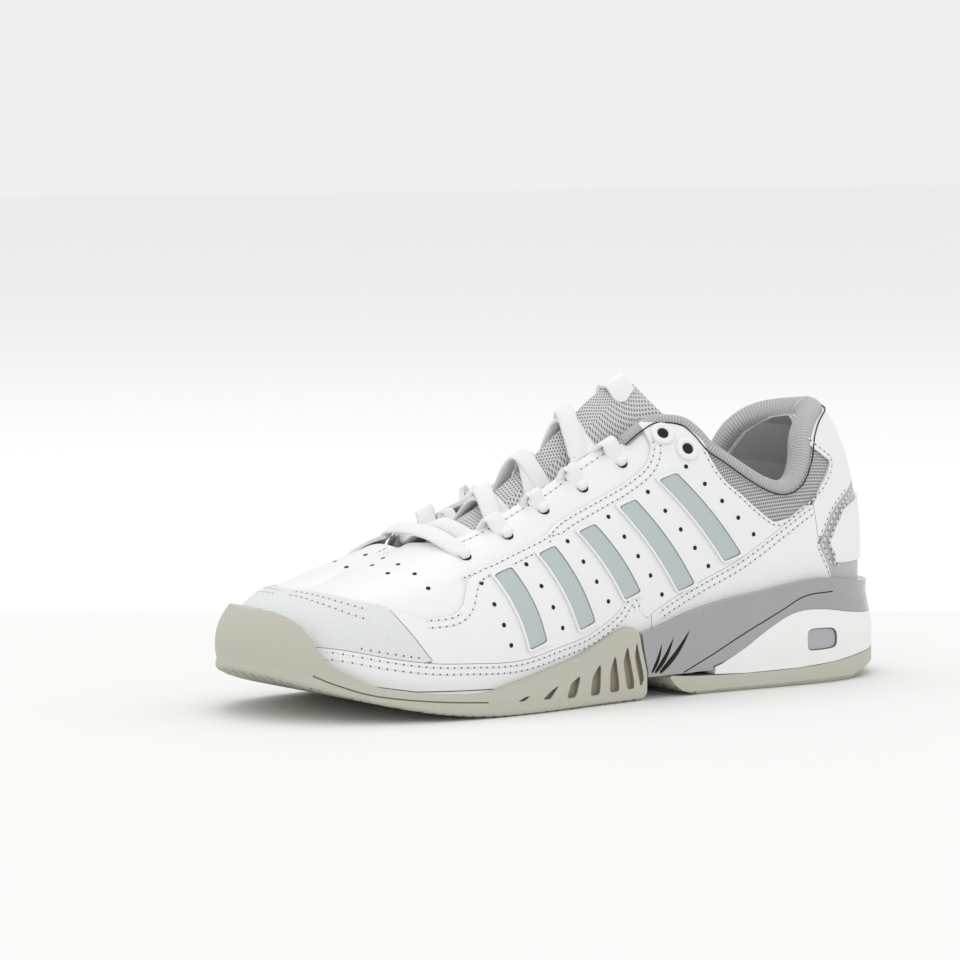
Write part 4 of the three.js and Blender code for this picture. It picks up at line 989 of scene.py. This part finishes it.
# the flutes and parting grooves get darker putty walls: painted shade in the recesses
cut(bumper, pocketTool([rounded(f) for f in sole["flutes"]], lateral, deep, "recessShadePutty"), "DIFFERENCE", transfer=True)
cut(bumper, pocketTool([bandAlong(sole["parting"], 0.55)], lateral, shallow, "recessShadePutty"), "DIFFERENCE",
    transfer=True)
cut(bumper, pocketTool([bandAlong(sole["partingMedial"], 0.55)], medial, shallow, "recessShadePutty"), "DIFFERENCE",
    transfer=True)
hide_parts("outsole_forefoot")

heelRubber = copyOf(whole, "outsoleHeel")
dress(heelRubber, "puttyRubber")
cut(heelRubber, fullPrism([tuple(p) for p in smoothCurve(sole["heelTop"], False, 4)][::-1] + sole["heelNose"]
                          + [(150, -5)]))
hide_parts("outsole_heel")

shankPoints = [tuple(p) for p in smoothCurve(sole["shankTop"], False, 5)] \
    + [tuple(p) for p in smoothCurve(sole["shankLow"], False, 5)][::-1] + [(12.6, 8.4), (12.6, 10.2)]
shank = copyOf(whole, "stabiliserShank")
dress(shank, "shankPlastic")
bridge = copyOf(whole, "bridge")
dress(bridge, "shankPlastic")
cut(shank, core, "DIFFERENCE", keep=True)
cut(shank, fullPrism(shankPoints))
cut(bridge, fullPrism([(12.6, 8.4), (44, 8.6), (44, 11.4), (12.6, 11.4)]))
cut(shank, bridge, "UNION")
for side in (lateral, medial):
    # the fins and the crease get near-black walls: painted shade in the recesses
    cut(shank, pocketTool([leaf(*f) for f in sole["fins"]], side, deep, "recessShadeDark"), "DIFFERENCE", transfer=True)
    cut(shank, pocketTool([bandAlong(sole["crease"], 0.5)], side, shallow, "recessShadeDark"), "DIFFERENCE", transfer=True)
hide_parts("stabiliser_shank")

foam = copyOf(whole, "midsole")
dress(foam, "whiteFoam")
low = [(x, z + 0.15) for x, z in sole["heelTop"][2:]]
cut(foam, fullPrism([(45, 7.1)] + low + [(x, z - 0.15) for x, z in smoothCurve(sole["shankLow"][3:], False, 5)][::-1]
                    + [(48, 10.6), (45, 9.6)]))
filler = copyOf(core, "filler")
dress(filler, "whiteFoam")
upper = [(x, z - 1.6) for x, z in last["feather"]][::-1]
cut(filler, fullPrism([(x, float(floorAt(x)) + 4) for x in np.linspace(-98, 12.2, 24)] + [(12.2, 11.8), (44.4, 11.8),
                      (44.4, 7.2)] + low + [(150, 30.4)] + upper[1:-1]))
cut(foam, filler, "UNION")
window = rounded(sole["window"], 3, 0.4)
cut(foam, pocketTool([window], lateral, deep, "windowGrey"), "DIFFERENCE", transfer=True)
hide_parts("midsole")

plug = soleBody("midsoleWindow", sole["outer"] - 0.7)
dress(plug, "windowGrey")
cut(plug, deep, "DIFFERENCE", keep=True)
cut(plug, sidePrism(lateral, [(95.4 + (x - 95.4) * 0.93, 16.8 + (z - 16.8) * 0.9) for x, z in window]))
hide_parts("midsole_window")

liner = soleBody("sockLiner", -4.6, 0, False, 200)
dress(liner, "liningMesh")
feather = [(x, float(featherAt(x))) for x in np.linspace(-150, 150, 60)]
cut(liner, fullPrism([(x, z + 1.3) for x, z in feather] + [(x, z + 5) for x, z in feather][::-1]))
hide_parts("sock_liner")
for piece in (bumper, heelRubber, shank, foam, plug):
    smooth(piece, 32)
    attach(piece, "shoe")
smooth(liner, 40)
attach(liner, "sock_liner")
for tool in (whole, core, shallow, deep):
    bpy.data.objects.remove(tool)
print("sole made")


# Stripes: flat bars with a raised white frame, and a dark sheet in the gap inside it as painted shade

stripes = {
    "width": 7.4, "rise": 2.4,
    "lateral": [[(-53.2, 49.1), (-43.9, 23)], [(-32.5, 55.4), (-19.3, 28)], [(-12.6, 62), (3.7, 37.2)],
                [(7.6, 69.7), (29.9, 38.4)], [(27.2, 78.4), (51.8, 48.1)]],
    "medial": [[(-42.5, 51.4), (-26, 26)], [(-26.5, 56.7), (-8, 30.2)], [(-10, 62.5), (8, 36.5)],
               [(5, 68.7), (28, 38.2)], [(19.5, 75.5), (47, 45.5)]],
    "frame": 1.3, "line": 0.35, "bow": 0.9}


def stripeOutline(top, foot, grow):
    w, r = stripes["width"], stripes["rise"]
    lean = np.array(foot, float) - top
    reach = lean / np.linalg.norm(lean)
    top, foot = np.array(top) - reach * grow, np.array(foot) + reach * grow
    out = []
    for f in np.linspace(0, 1, 9):
        p = top + (foot - top) * f
        out.append((p[0] - grow + stripes["bow"] * math.sin(math.pi * f), p[1]))
    for f in np.linspace(1, 0, 9):
        p = top + (foot - top) * f
        out.append((p[0] + w + grow + stripes["bow"] * math.sin(math.pi * f), p[1] + r))
    return rounded(out, 2, 0.2)


for side, word, finish in ((lateral, "lateral", "blueGreyFilm"), (medial, "medial", "silverFoil")):
    sRange = lateralS if side < 0 else medialS
    for i, (top, foot) in enumerate(stripes[word]):
        spread = (top[0] - 8, foot[0] + 16)
        bar = cutPanel("stripe%s%d" % (word.title(), i + 1), raised - 0.35, spread, sRange,
                       [sidePrism(side, stripeOutline(top, foot, 0))], thickness=0.6, finish=finish,
                       node="stripe_%s_%d" % (word, i + 1), opened=False, step=1.1)
        border = cutPanel("frame%s%d" % (word.title(), i + 1), raised, spread, sRange,
                         [sidePrism(side, stripeOutline(top, foot, stripes["frame"]))],
                         [sidePrism(side, stripeOutline(top, foot, stripes["line"]))], thickness=0.9,
                         opened=False, step=1.1)
        # a dark sheet at the bottom of the gap between bar and frame: painted shade
        shade = cutPanel("shade%s%d" % (word.title(), i + 1), raised - 0.7, spread, sRange,
                         [sidePrism(side, stripeOutline(top, foot, stripes["line"] + 0.1))], thickness=0.2,
                         finish="paintedShadeDark", opened=False, step=1.6)
print("stripes made")


# Small repeated details on the last: stitches, needle holes, perforations

def spaced(points, pitch):
    rows = np.array(points, float)
    run = runOf(rows)
    at = np.arange(pitch / 2, run[-1], pitch)
    return np.stack([np.interp(at, run, rows[:, k]) for k in range(rows.shape[1])], -1)


def lineOnLast(side, points, pitch, axis=2, offset=0.0):
    # places along an outline drawn on the last, with their normals and directions
    rows = spaced(points, pitch)
    p, n = onLast(side, rows[:, 0], rows[:, 1], axis)
    p = p + n * offset
    along = unit(np.gradient(p, axis=0)) if len(p) > 1 else np.tile([1.0, 0, 0], (len(p), 1))
    return p, n, unit(along - n * np.sum(along * n, 1, keepdims=True))


def repeatShape(name, source, places, finish):
    # copies of a small shape, its x along the line and its z along the normal
    points = np.concatenate([q[0] for q in places])
    normals = np.concatenate([q[1] for q in places])
    alongs = np.concatenate([q[2] for q in places])
    side = np.cross(normals, alongs)
    mesh = source.data
    flat = np.empty(len(mesh.vertices) * 3)
    mesh.vertices.foreach_get("co", flat)
    shape = flat.reshape(-1, 3)
    faces = [list(f.vertices) for f in mesh.polygons]
    verts = (points[:, None] + shape[None, :, :1] * alongs[:, None] + shape[None, :, 1:2] * side[:, None]
             + shape[None, :, 2:] * normals[:, None]).reshape(-1, 3)
    all_faces = [[v + k * len(shape) for v in f] for k in range(len(points)) for f in faces]
    new = bpy.data.meshes.new(name)
    new.from_pydata(toShoe(verts).tolist(), [], all_faces)
    bpy.data.objects.remove(source)
    piece = bpy.data.objects.new(name, new)
    bpy.context.scene.collection.objects.link(piece)
    smooth(piece, 50)
    dress(piece, finish)
    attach(piece, "shoe")
    return piece


def threadShape(length=2.0, radius=0.34):
    bpy.ops.mesh.primitive_uv_sphere_add(segments=6, ring_count=4, radius=1)
    shape = bpy.context.object
    shape.scale = (length / 2, radius, radius * 0.9)
    bpy.ops.object.transform_apply(location=False, rotation=False, scale=True)
    return shape


def discShape(radius, depth, sides=10):
    bpy.ops.mesh.primitive_cylinder_add(vertices=sides, radius=radius, depth=depth)
    return bpy.context.object


stitch = {"pitch": 2.6, "hole": 0.36}
rowsOver, rowsRaised, rowsUnder = [], [], []
fox, rear, eyestay = curve["fox"], curve["rear"], curve["eyestay"]
for d in (-1.3, -3.6):
    rowsOver.append(lineOnLast(lateral, offsetLine(eyestay[10:85], d), stitch["pitch"], 2, over))
    rowsOver.append(lineOnLast(medial, offsetLine(curve["medialEyestay"][4:42], d), stitch["pitch"], 2, over))
    rowsOver.append(lineOnLast(lateral, offsetLine(fox[2:66], d), stitch["pitch"], 2, over))
    rowsOver.append(lineOnLast(medial, offsetLine(curve["medialFox"], d), stitch["pitch"], 2, over))
    for side in (lateral, medial):
        rowsOver.append(lineOnLast(side, offsetLine(rear[1:], d), stitch["pitch"], 2, over))
for d in (1.5, 4.2):
    toe = offsetLine(curve["toePlan"][2:-2], -d)
    for side in (lateral, medial):
        rows = toe[toe[:, 1] * side > 0.5]
        rowsOver.append(lineOnLast(side, rows, stitch["pitch"], 1, over))
for side in (lateral, medial):
    rowsOver.append(lineOnLast(side, offsetLine(curve["mesh"][4:56], -1.4), stitch["pitch"], 2, over))
    throat = np.array([(x, y if side < 0 else 2 * spineYAt(x) - y) for x, y in curve["throat"][10:44]])
    rowsUnder.append(lineOnLast(side, offsetLine(throat, -3.0 * -side), stitch["pitch"], 1, under))
    rowsRaised.append(lineOnLast(side, offsetLine(curve["patch"][5:31], -1.2), stitch["pitch"], 2, raised))
    rowsOver.append(lineOnLast(side, offsetLine(curve["piping"][2:30], 1.3), stitch["pitch"], 2, over))
    rowsOver.append(lineOnLast(side, offsetLine(curve["piping"][4:36], -1.4), stitch["pitch"], 2, over))
rowsOver.append(lineOnLast(lateral, offsetLine([p for p in fox if -112 < p[0] < -86], 1.6), stitch["pitch"], 2, over))
threads = repeatShape("seamThreads", threadShape(), rowsOver + rowsRaised + rowsUnder, "thread")


def between(rows):
    # the needle holes lie between one stitch and the next
    out = []
    for p, n, a in rows:
        if len(p) > 1:
            out.append(((p[:-1] + p[1:]) / 2, unit(n[:-1] + n[1:]), unit(a[:-1] + a[1:])))
    return out


# dark discs between the stitches: painted shade in the needle holes
needles = repeatShape("stitchHoleShade", discShape(stitch["hole"], 0.16, 8), between(rowsOver + rowsRaised + rowsUnder),
                      "paintedShadeDark")

perforations = {
    "lateral": [((-58.9, 46), (-52.3, 24.8), 4), ((-38.6, 51.5), (-27.8, 29.1), 4), ((-18.3, 58.5), (-4.2, 36.8), 4),
                ((2.2, 66.1), (22.2, 37.5), 5), ((21.8, 74.1), (44.8, 46.5), 5), ((39.9, 82.5), (66.1, 57), 5)],
    "medial": [((-22, 48), (-18, 42), 2), ((-5, 54), (0, 48), 2), ((12, 59), (18, 52), 2), ((30, 66), (36, 59), 2)],
    "vamp": [(-85.8, 6.6), (-83, -6), (-76.6, -3.2), (-84.7, -18.9), (-78.4, -15.9), (-77.9, -25.9),
             (-77.5, -34.1), (-76.2, 9), (-83.5, 18)],
    "radius": 0.85}
spots = []
for side, word in ((lateral, "lateral"), (medial, "medial")):
    for a, b, count in perforations[word]:
        rows = np.array([np.array(a) + (np.array(b) - a) * f for f in np.linspace(0, 1, count)])
        p, n = onLast(side, rows[:, 0], rows[:, 1])
        spots.append((p + n * over, n, unit(np.cross(n, [0, 1.0, 0]))))
for side in (lateral, medial):
    rows = np.array([q for q in perforations["vamp"] if (q[1] < 2) == (side < 0)])
    p, n = onLast(side, rows[:, 0], rows[:, 1], 1)
    spots.append((p + n * under, n, unit(np.cross(n, [0, 1.0, 0]))))
# near-black discs on the perforations: painted shade in the holes
holesPiece = repeatShape("perforations", discShape(perforations["radius"], 0.2, 14), spots, "blackShadeAndPiping")

eyelets = {"plain": [(-58, 55.5), (-39.4, 62), (-21.5, 70), (-3, 77), (16, 85)], "ringed": [(34.4, 94), (42, 88.6)],
           "hole": 2.1, "ring": 4.5}
spots, ringSpots = [], []
for side in (lateral, medial):
    for x, z in eyelets["plain"] + eyelets["ringed"]:
        p, n = onLast(side, x, z)
        ringed = (x, z) in eyelets["ringed"]
        lift = over + 0.5 if ringed else under
        spots.append((p + n * lift, n, unit(np.cross(n, [0, 1.0, 0]))))
        if ringed:
            ringSpots.append((side, p + n * (over + 0.5), n))
# near-black discs in the eyelets: painted shade in the holes
eyeletHoles = repeatShape("eyeletHoles", discShape(eyelets["hole"], 0.3, 24), spots, "blackShadeAndPiping")
for k, (side, p, n) in enumerate(ringSpots):
    angle = np.linspace(0, 2 * np.pi, 49)
    a = unit(np.cross(n[0], [0, 1.0, 0]))
    b = np.cross(n[0], a)
    middle = (eyelets["hole"] + eyelets["ring"]) / 2
    radial = np.cos(angle)[:, None] * a + np.sin(angle)[:, None] * b
    ring = sweep("eyeletRing%s%d" % ("Lateral" if side < 0 else "Medial", k % 2 + 1), p[0] + radial * middle, radial,
                 np.tile(n[0], (49, 1)), (eyelets["ring"] - eyelets["hole"]) / 2, 0.8, 12, 2.6)
    dress(ring, "whiteSynthetic")
    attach(ring, "shoe")
    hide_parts("eyelet_ring_%s_%d" % ("lateral" if side < 0 else "medial", k % 2 + 1))
print("small details made")


# Collar

collar = {
    "throat": [(18.5, -16.8), (26, -15.8), (32.5, -15.6), (37.5, -17)],
    "rim": [(44, 98.6), (48, 95), (52, 89.2), (58, 85), (66, 79.6), (74, 75.2), (82, 73.2), (89, 76), (94, 83),
            (99, 93), (106, 99), (114, 101.6)],
    "back": 103.0, "halfThick": [(0, 2.3), (25, 2.5), (60, 3.6), (110, 5.2), (140, 5.6)],
    "halfTall": [(0, 2.7), (30, 2.9), (70, 3.2), (140, 3.3)],
    "centre": [(0, -1.2), (25, -1.4), (60, -2.4), (110, -4.2), (140, -4.6)]}


def collarPath(side):
    x, y = np.array(collar["throat"]).T
    if side > 0:
        y = 2 * spineYAt(x) - y
    w1, s1 = whereOn(side, x, y, 1)
    x, z = np.array(collar["rim"]).T
    w2, s2 = whereOn(side, x, z, 2)
    rows = np.column_stack([np.concatenate([w1, w2]), np.concatenate([s1, s2])])
    heelS = np.linspace(0, 1, 400)
    heights = lastPoint(np.ones(400), side * heelS)[:, 2]
    backS = side * np.interp(collar["back"], heights[::-1], heelS[::-1])
    path = smoothCurve(np.vstack([rows, [1.0, backS]]), False, 12)
    return np.column_stack([np.minimum(path[:, 0], 1), path[:, 1]])


left, right = collarPath(lateral), collarPath(medial)[::-1]
place = np.vstack([left, right[1:]])
rim, out = lastPoint(place[:, 0], place[:, 1]), lastNormal(place[:, 0], place[:, 1])
run = runOf(rim)
fromEnd = np.minimum(run, run[-1] - run)
rim = rim + out * byX(collar["centre"], fromEnd)[:, None]
forward = unit(np.gradient(rim, axis=0))
up = unit(np.cross(out, forward))
up = up * np.where(up[len(up) // 2, 2] < 0, -1, 1)
outward = unit(np.cross(forward, up))
roll = sweep("collarRoll", rim, outward, up, tapered(len(rim), byX(collar["halfThick"], fromEnd), 3.0, run),
             tapered(len(rim), byX(collar["halfTall"], fromEnd), 3.0, run), 20, 2.3)
dress(roll, "ribbedKnit")
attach(roll, "shoe")
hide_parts("collar_roll")
# a near-black cord in the crease under the collar roll, all round: thin dark piping by the mesh, and painted shade
# where the roll meets the upper
onSkin = lastPoint(place[:, 0], place[:, 1]) + out * 1.25 - up * (byX(collar["halfTall"], fromEnd)[:, None] - 0.7)
line = sweep("collarPipingShade", onSkin, out, up, 0.26, 0.26, 8)
dress(line, "blackShadeAndPiping")
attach(line, "shoe")
print("collar made")


# Tongue

tongue = {
    "rows": [(-72, 49.4, 15, 1, 3, 0), (-62, 53.6, 17, 1, 5, 0), (-48, 60.6, 21, 1, 9, 0.2), (-30, 72, 21, 1, 15, 0.7),
             (-12, 84.5, 20.5, 2, 24.8, 0.9), (2, 95.5, 20, 3, 29.2, 1), (14, 105.5, 19, 5, 29, 1),
             (24, 112.2, 18, 9, 26, 0.7), (31, 116.0, 17, 17, 19, 0.1)],
    "fan": 0.7, "thick": [(0, 3.6), (0.3, 4.6), (0.6, 6), (0.85, 8.6), (1, 9.6)], "label": (0.86, 0.975, 0.42)}
tongueRows = np.array(tongue["rows"], float)


def tongueFace(u, v):
    u, v = np.broadcast_arrays(np.asarray(u, float), np.asarray(v, float))
    run = np.clip(u, 0, 1) * (len(tongueRows) - 1)
    x, z, half, sweepBack, drop, steep = (np.interp(run, np.arange(len(tongueRows)), tongueRows[:, k])
                                          for k in range(6))
    away = np.abs(v)
    f = np.clip((away - 0.1) / 0.62, 0, 1)
    fall = (1 - steep) * away ** 2 + steep * (0.85 * f * f * (3 - 2 * f) + 0.15 * away ** 2)
    return np.stack([x + sweepBack * away ** 2, half * v, z - drop * fall], -1)


def tongueNormal(u, v):
    e = 0.02
    along = tongueFace(np.minimum(u + e, 1), v) - tongueFace(np.maximum(u - e, 0), v)
    across = tongueFace(u, np.minimum(v + e, 1)) - tongueFace(u, np.maximum(v - e, -1))
    return unit(np.cross(along, across))


def tonguePoint(u, v, depth):
    middle = tongueNormal(u, 0 * v)
    down = middle * np.cos(tongue["fan"] * v)[..., None]
    down[..., 1] += np.sin(tongue["fan"] * v)
    return tongueFace(u, v) - down * np.asarray(depth)[..., None]


def tongueBody(name, faceSide, finish):
    # one padded layer: a half oval section, closed at both ends
    sides, rows = 44, 90

    def placeAt(u, v):
        row = np.rint(u * rows) / rows
        a = 2 * np.pi * np.rint(v * sides) / sides
        full = byX(tongue["thick"], row)
        endRound = np.sqrt(np.clip(1 - (1 - np.clip((1 - row) / 0.03, 0, 1)) ** 2, 0, 1)) \
            * np.sqrt(np.clip(1 - (1 - np.clip(row / 0.02, 0, 1)) ** 2, 0, 1))
        c, d = np.cos(a), np.sin(a)
        spread = np.sign(c) * np.abs(c) ** 0.62
        half = full / 2 * np.sign(d) * np.abs(d) ** 0.8 * endRound
        if faceSide:
            depth = full / 2 - np.maximum(half, 0) + np.where(half < 0, 0.5, 0) * np.abs(d)
        else:
            depth = full / 2 - np.minimum(half, 0) - np.where(half > 0, -0.6, 0) * np.abs(d)
        return tonguePoint(row, spread, depth)

    def uvAt(u, v):
        a = 2 * np.pi * v
        c = np.cos(a)
        return np.stack([np.sign(c) * np.abs(c) ** 0.62 * 26, u * 135], -1)

    piece = shapedGrid(name, rows, sides, placeAt, uvAt)
    mergeClose(piece)
    faceOut(piece)
    smooth(piece, 70)
    dress(piece, finish)
    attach(piece, "tongue")
    return piece


face = tongueBody("tongueFace", True, "tongueMesh")
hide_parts("tongue_face", "tongue_foam")
back = tongueBody("tongueLining", False, "liningMesh")
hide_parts("tongue_lining")


def labelPlace(u, v):
    # a shield patch, wider at its top
    low, high, half = tongue["label"]
    r = np.clip(np.abs(v * 2 - 1), 0, 1)
    taper = 0.62 + 0.38 * np.clip(u * 2.2, 0, 1) ** 0.5
    roundTop = np.sqrt(np.clip(1 - np.clip((u - 0.9) / 0.1, 0, 1) ** 2 * 0.35, 0, 1))
    return low + (high - low) * (u - 0.06 * (1 - r ** 2) * (1 - u)), half * (v * 2 - 1) * taper * roundTop


def labelAt(u, v):
    a, b = labelPlace(u, v)
    return tonguePoint(a, b, np.full(np.shape(a), -1.2))


label = shapedGrid("tongueLabel", 30, 30, labelAt, lambda u, v: np.stack([u * 14, v * 14], -1))
thicken(label, 1.4)
faceOut(label)
smooth(label, 50)
dress(label, "labelWhite")
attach(label, "tongue")
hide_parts("tongue_label")
print("tongue made")


# Lace

laces = {"width": 7.2, "depth": 2.1, "bunch": 3.6, "lift": 2.3, "clear": 2.6}


def stop(at, upward, width=None, depth=None):
    return np.concatenate([at, upward, [width or laces["width"], depth or laces["depth"]]])


def onTongue(x, y):
    u = np.linspace(0, 1, 241)
    half = np.interp(u * (len(tongueRows) - 1), np.arange(len(tongueRows)), tongueRows[:, 2])
    v = np.clip(y / half, -1, 1)
    points = tongueFace(u, v)
    i = np.abs(points[:, 0] - x).argmin()
    return points[i], tongueNormal(u[i:i + 1], v[i:i + 1])[0]


def throatAt(x):
    return -np.interp(x, *np.array(curve["throat"][5:]).T)


def crossing(a, b, lift):
    (pa, na), (pb, nb) = a, b
    near = np.sign(pa[1])
    mix = lambda f: pa[0] + (pb[0] - pa[0]) * f
    lineX = lambda y: pa[0] + (pb[0] - pa[0]) * (y - pa[1]) / (pb[1] - pa[1])
    stops = [stop(pa + np.array([0, -near * 3.5, 0]) - na * 5.9, na, 4.5)]
    lipY = near * (throatAt(mix(0.2)) - 2.6)
    p, n = onLast(near, lineX(lipY), lipY, 1)
    stops.append(stop(p[0] - np.array([0, 0, 2.6]), n[0], 5.5))
    for y in (near * (throatAt(mix(0.3)) - 7), 0, -near * (throatAt(mix(0.7)) - 6)):
        p, n = onTongue(lineX(y), y)
        stops.append(stop(p + n * (laces["clear"] + (lift if y == 0 else lift * 0.6)), n))
    farY = -near * (throatAt(mix(0.8)) + 1.5)
    p, n = onLast(-near, lineX(farY), farY, 1)
    stops.append(stop(p[0] + n[0] * 2.4, n[0]))
    return stops


def halfLace(firstSide, lift):
    stops = [stop(np.array([-61.5, firstSide * 14, 62]), np.array([0, 0, 1.0]))]
    sites = []
    for i, (x, z) in enumerate(eyelets["plain"]):
        p, n = onLast(-firstSide if i % 2 else firstSide, x, z)
        sites.append((p[0], n[0]))
    for i, (p, n) in enumerate(sites):
        inward = np.array([0, -np.sign(p[1]), 0])
        stops.append(stop(p + inward * 4.2 + n * 2.0, n, 6.4, 2.3))
        stops.append(stop(p + inward * 0.9 + n * 1.2, n, 4.6, 2.4))
        stops.append(stop(p - n * 1.2, inward, laces["bunch"], 2.6))
        stops.append(stop(p - n * 4.6, inward, laces["bunch"], 2.4))
        if i < len(sites) - 1:
            stops += crossing(sites[i], sites[i + 1], lift)
    return stops


def centripetal(rows, perSpan):
    # a smooth path that doesn't loop where its stops lie unevenly
    p = rows[:, :3]
    gaps = np.maximum(np.linalg.norm(np.diff(p, axis=0), axis=1), 1e-6) ** 0.5
    out = []
    for i in range(len(rows) - 1):
        b, c = rows[i], rows[i + 1]
        a = rows[i - 1] if i else 2 * b - c
        d = rows[i + 2] if i + 2 < len(rows) else 2 * c - b
        g1 = gaps[i]
        g0 = gaps[i - 1] if i else g1
        g2 = gaps[i + 1] if i + 2 < len(rows) else g1
        m1 = (c - b) - (c - a) * g1 / (g0 + g1) * 1.0 + (b - a) / g0 * g1
        m2 = (c - b) - (d - b) * g1 / (g1 + g2) + (d - c) / g2 * g1
        for k in range(perSpan):
            t = k / perSpan
            out.append((2 * t ** 3 - 3 * t ** 2 + 1) * b + (t ** 3 - 2 * t ** 2 + t) * m1
                       + (-2 * t ** 3 + 3 * t ** 2) * c + (t ** 3 - t ** 2) * m2)
    out.append(rows[-1])
    return np.array(out)


stops = halfLace(lateral, 0)[::-1] + [stop(np.array([-62, 2, 63.2]), np.array([0, 0, 1.0]))] \
    + halfLace(medial, laces["lift"])
route = centripetal(np.array(stops), 9)
centre = route[:, :3]
forward = unit(np.gradient(centre, axis=0))
alongThroat = unit(np.array([[1.0, 0, 0.45]]))
wide = unit(alongThroat - forward * np.sum(alongThroat * forward, 1, keepdims=True))
thick = unit(np.cross(wide, forward))
run = runOf(centre)
print("lace route %.1f mm" % run[-1])
lace = sweep("lace", centre, wide, thick, tapered(len(centre), route[:, 6] / 2, 1.0, run),
             tapered(len(centre), route[:, 7] / 2, 1.0, run), 16, 2.4)
dress(lace, "laceWeave")
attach(lace, "shoe")
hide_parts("lace")
print("lace made")


# Nodes that stay as they were cut, inside the shoe

hidden = {"lasting_board": "stiffBoard", "toe_puff": "stiffBoard", "heel_counter": "stiffBoard",
          "lining_forefoot": "liningMesh", "lining_rear": "liningMesh", "collar_lining": "liningMesh",
          "collar_foam": "openFoam"}
for name, finish in hidden.items():
    dress(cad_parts[name], finish)

bpy.ops.mesh.primitive_plane_add(size=studio["floorSize"])
ground = bpy.context.object
ground.name = "floor"
floorPaint = bpy.data.materials.new("paleFloor")
floorPaint.use_nodes = True
shader = floorPaint.node_tree.nodes["Principled BSDF"]
spot = node(floorPaint.node_tree, "ShaderNodeTexCoord")
soft = useGroup(floorPaint.node_tree, tone, Vector=spot.outputs["Object"], Colour=studio["floorColour"], Drift=0.004,
                Roughness=0.8)
paint = floorPaint.node_tree
split = node(paint, "ShaderNodeSeparateXYZ")
paint.links.new(spot.outputs["Object"], split.inputs[0])
turn = math.radians(view["azimuth"])
depth = maths(paint, "SUBTRACT", maths(paint, "MULTIPLY", split.outputs[1], math.cos(turn)),
              maths(paint, "MULTIPLY", split.outputs[0], math.sin(turn)))
beyond = maths(paint, "GREATER_THAN", depth, studio["farEdge"])
tones = node(paint, "ShaderNodeMix", data_type="RGBA")
paint.links.new(beyond, tones.inputs["Factor"])
paint.links.new(soft.outputs["Colour"], tones.inputs["A"])
tones.inputs["B"].default_value = studio["farColour"]
paint.links.new(tones.outputs["Result"], shader.inputs["Base Color"])
floorPaint.node_tree.links.new(soft.outputs["Roughness"], shader.inputs["Roughness"])
ground.data.materials.append(floorPaint)

for piece in made.values():
    pass

makeStage()
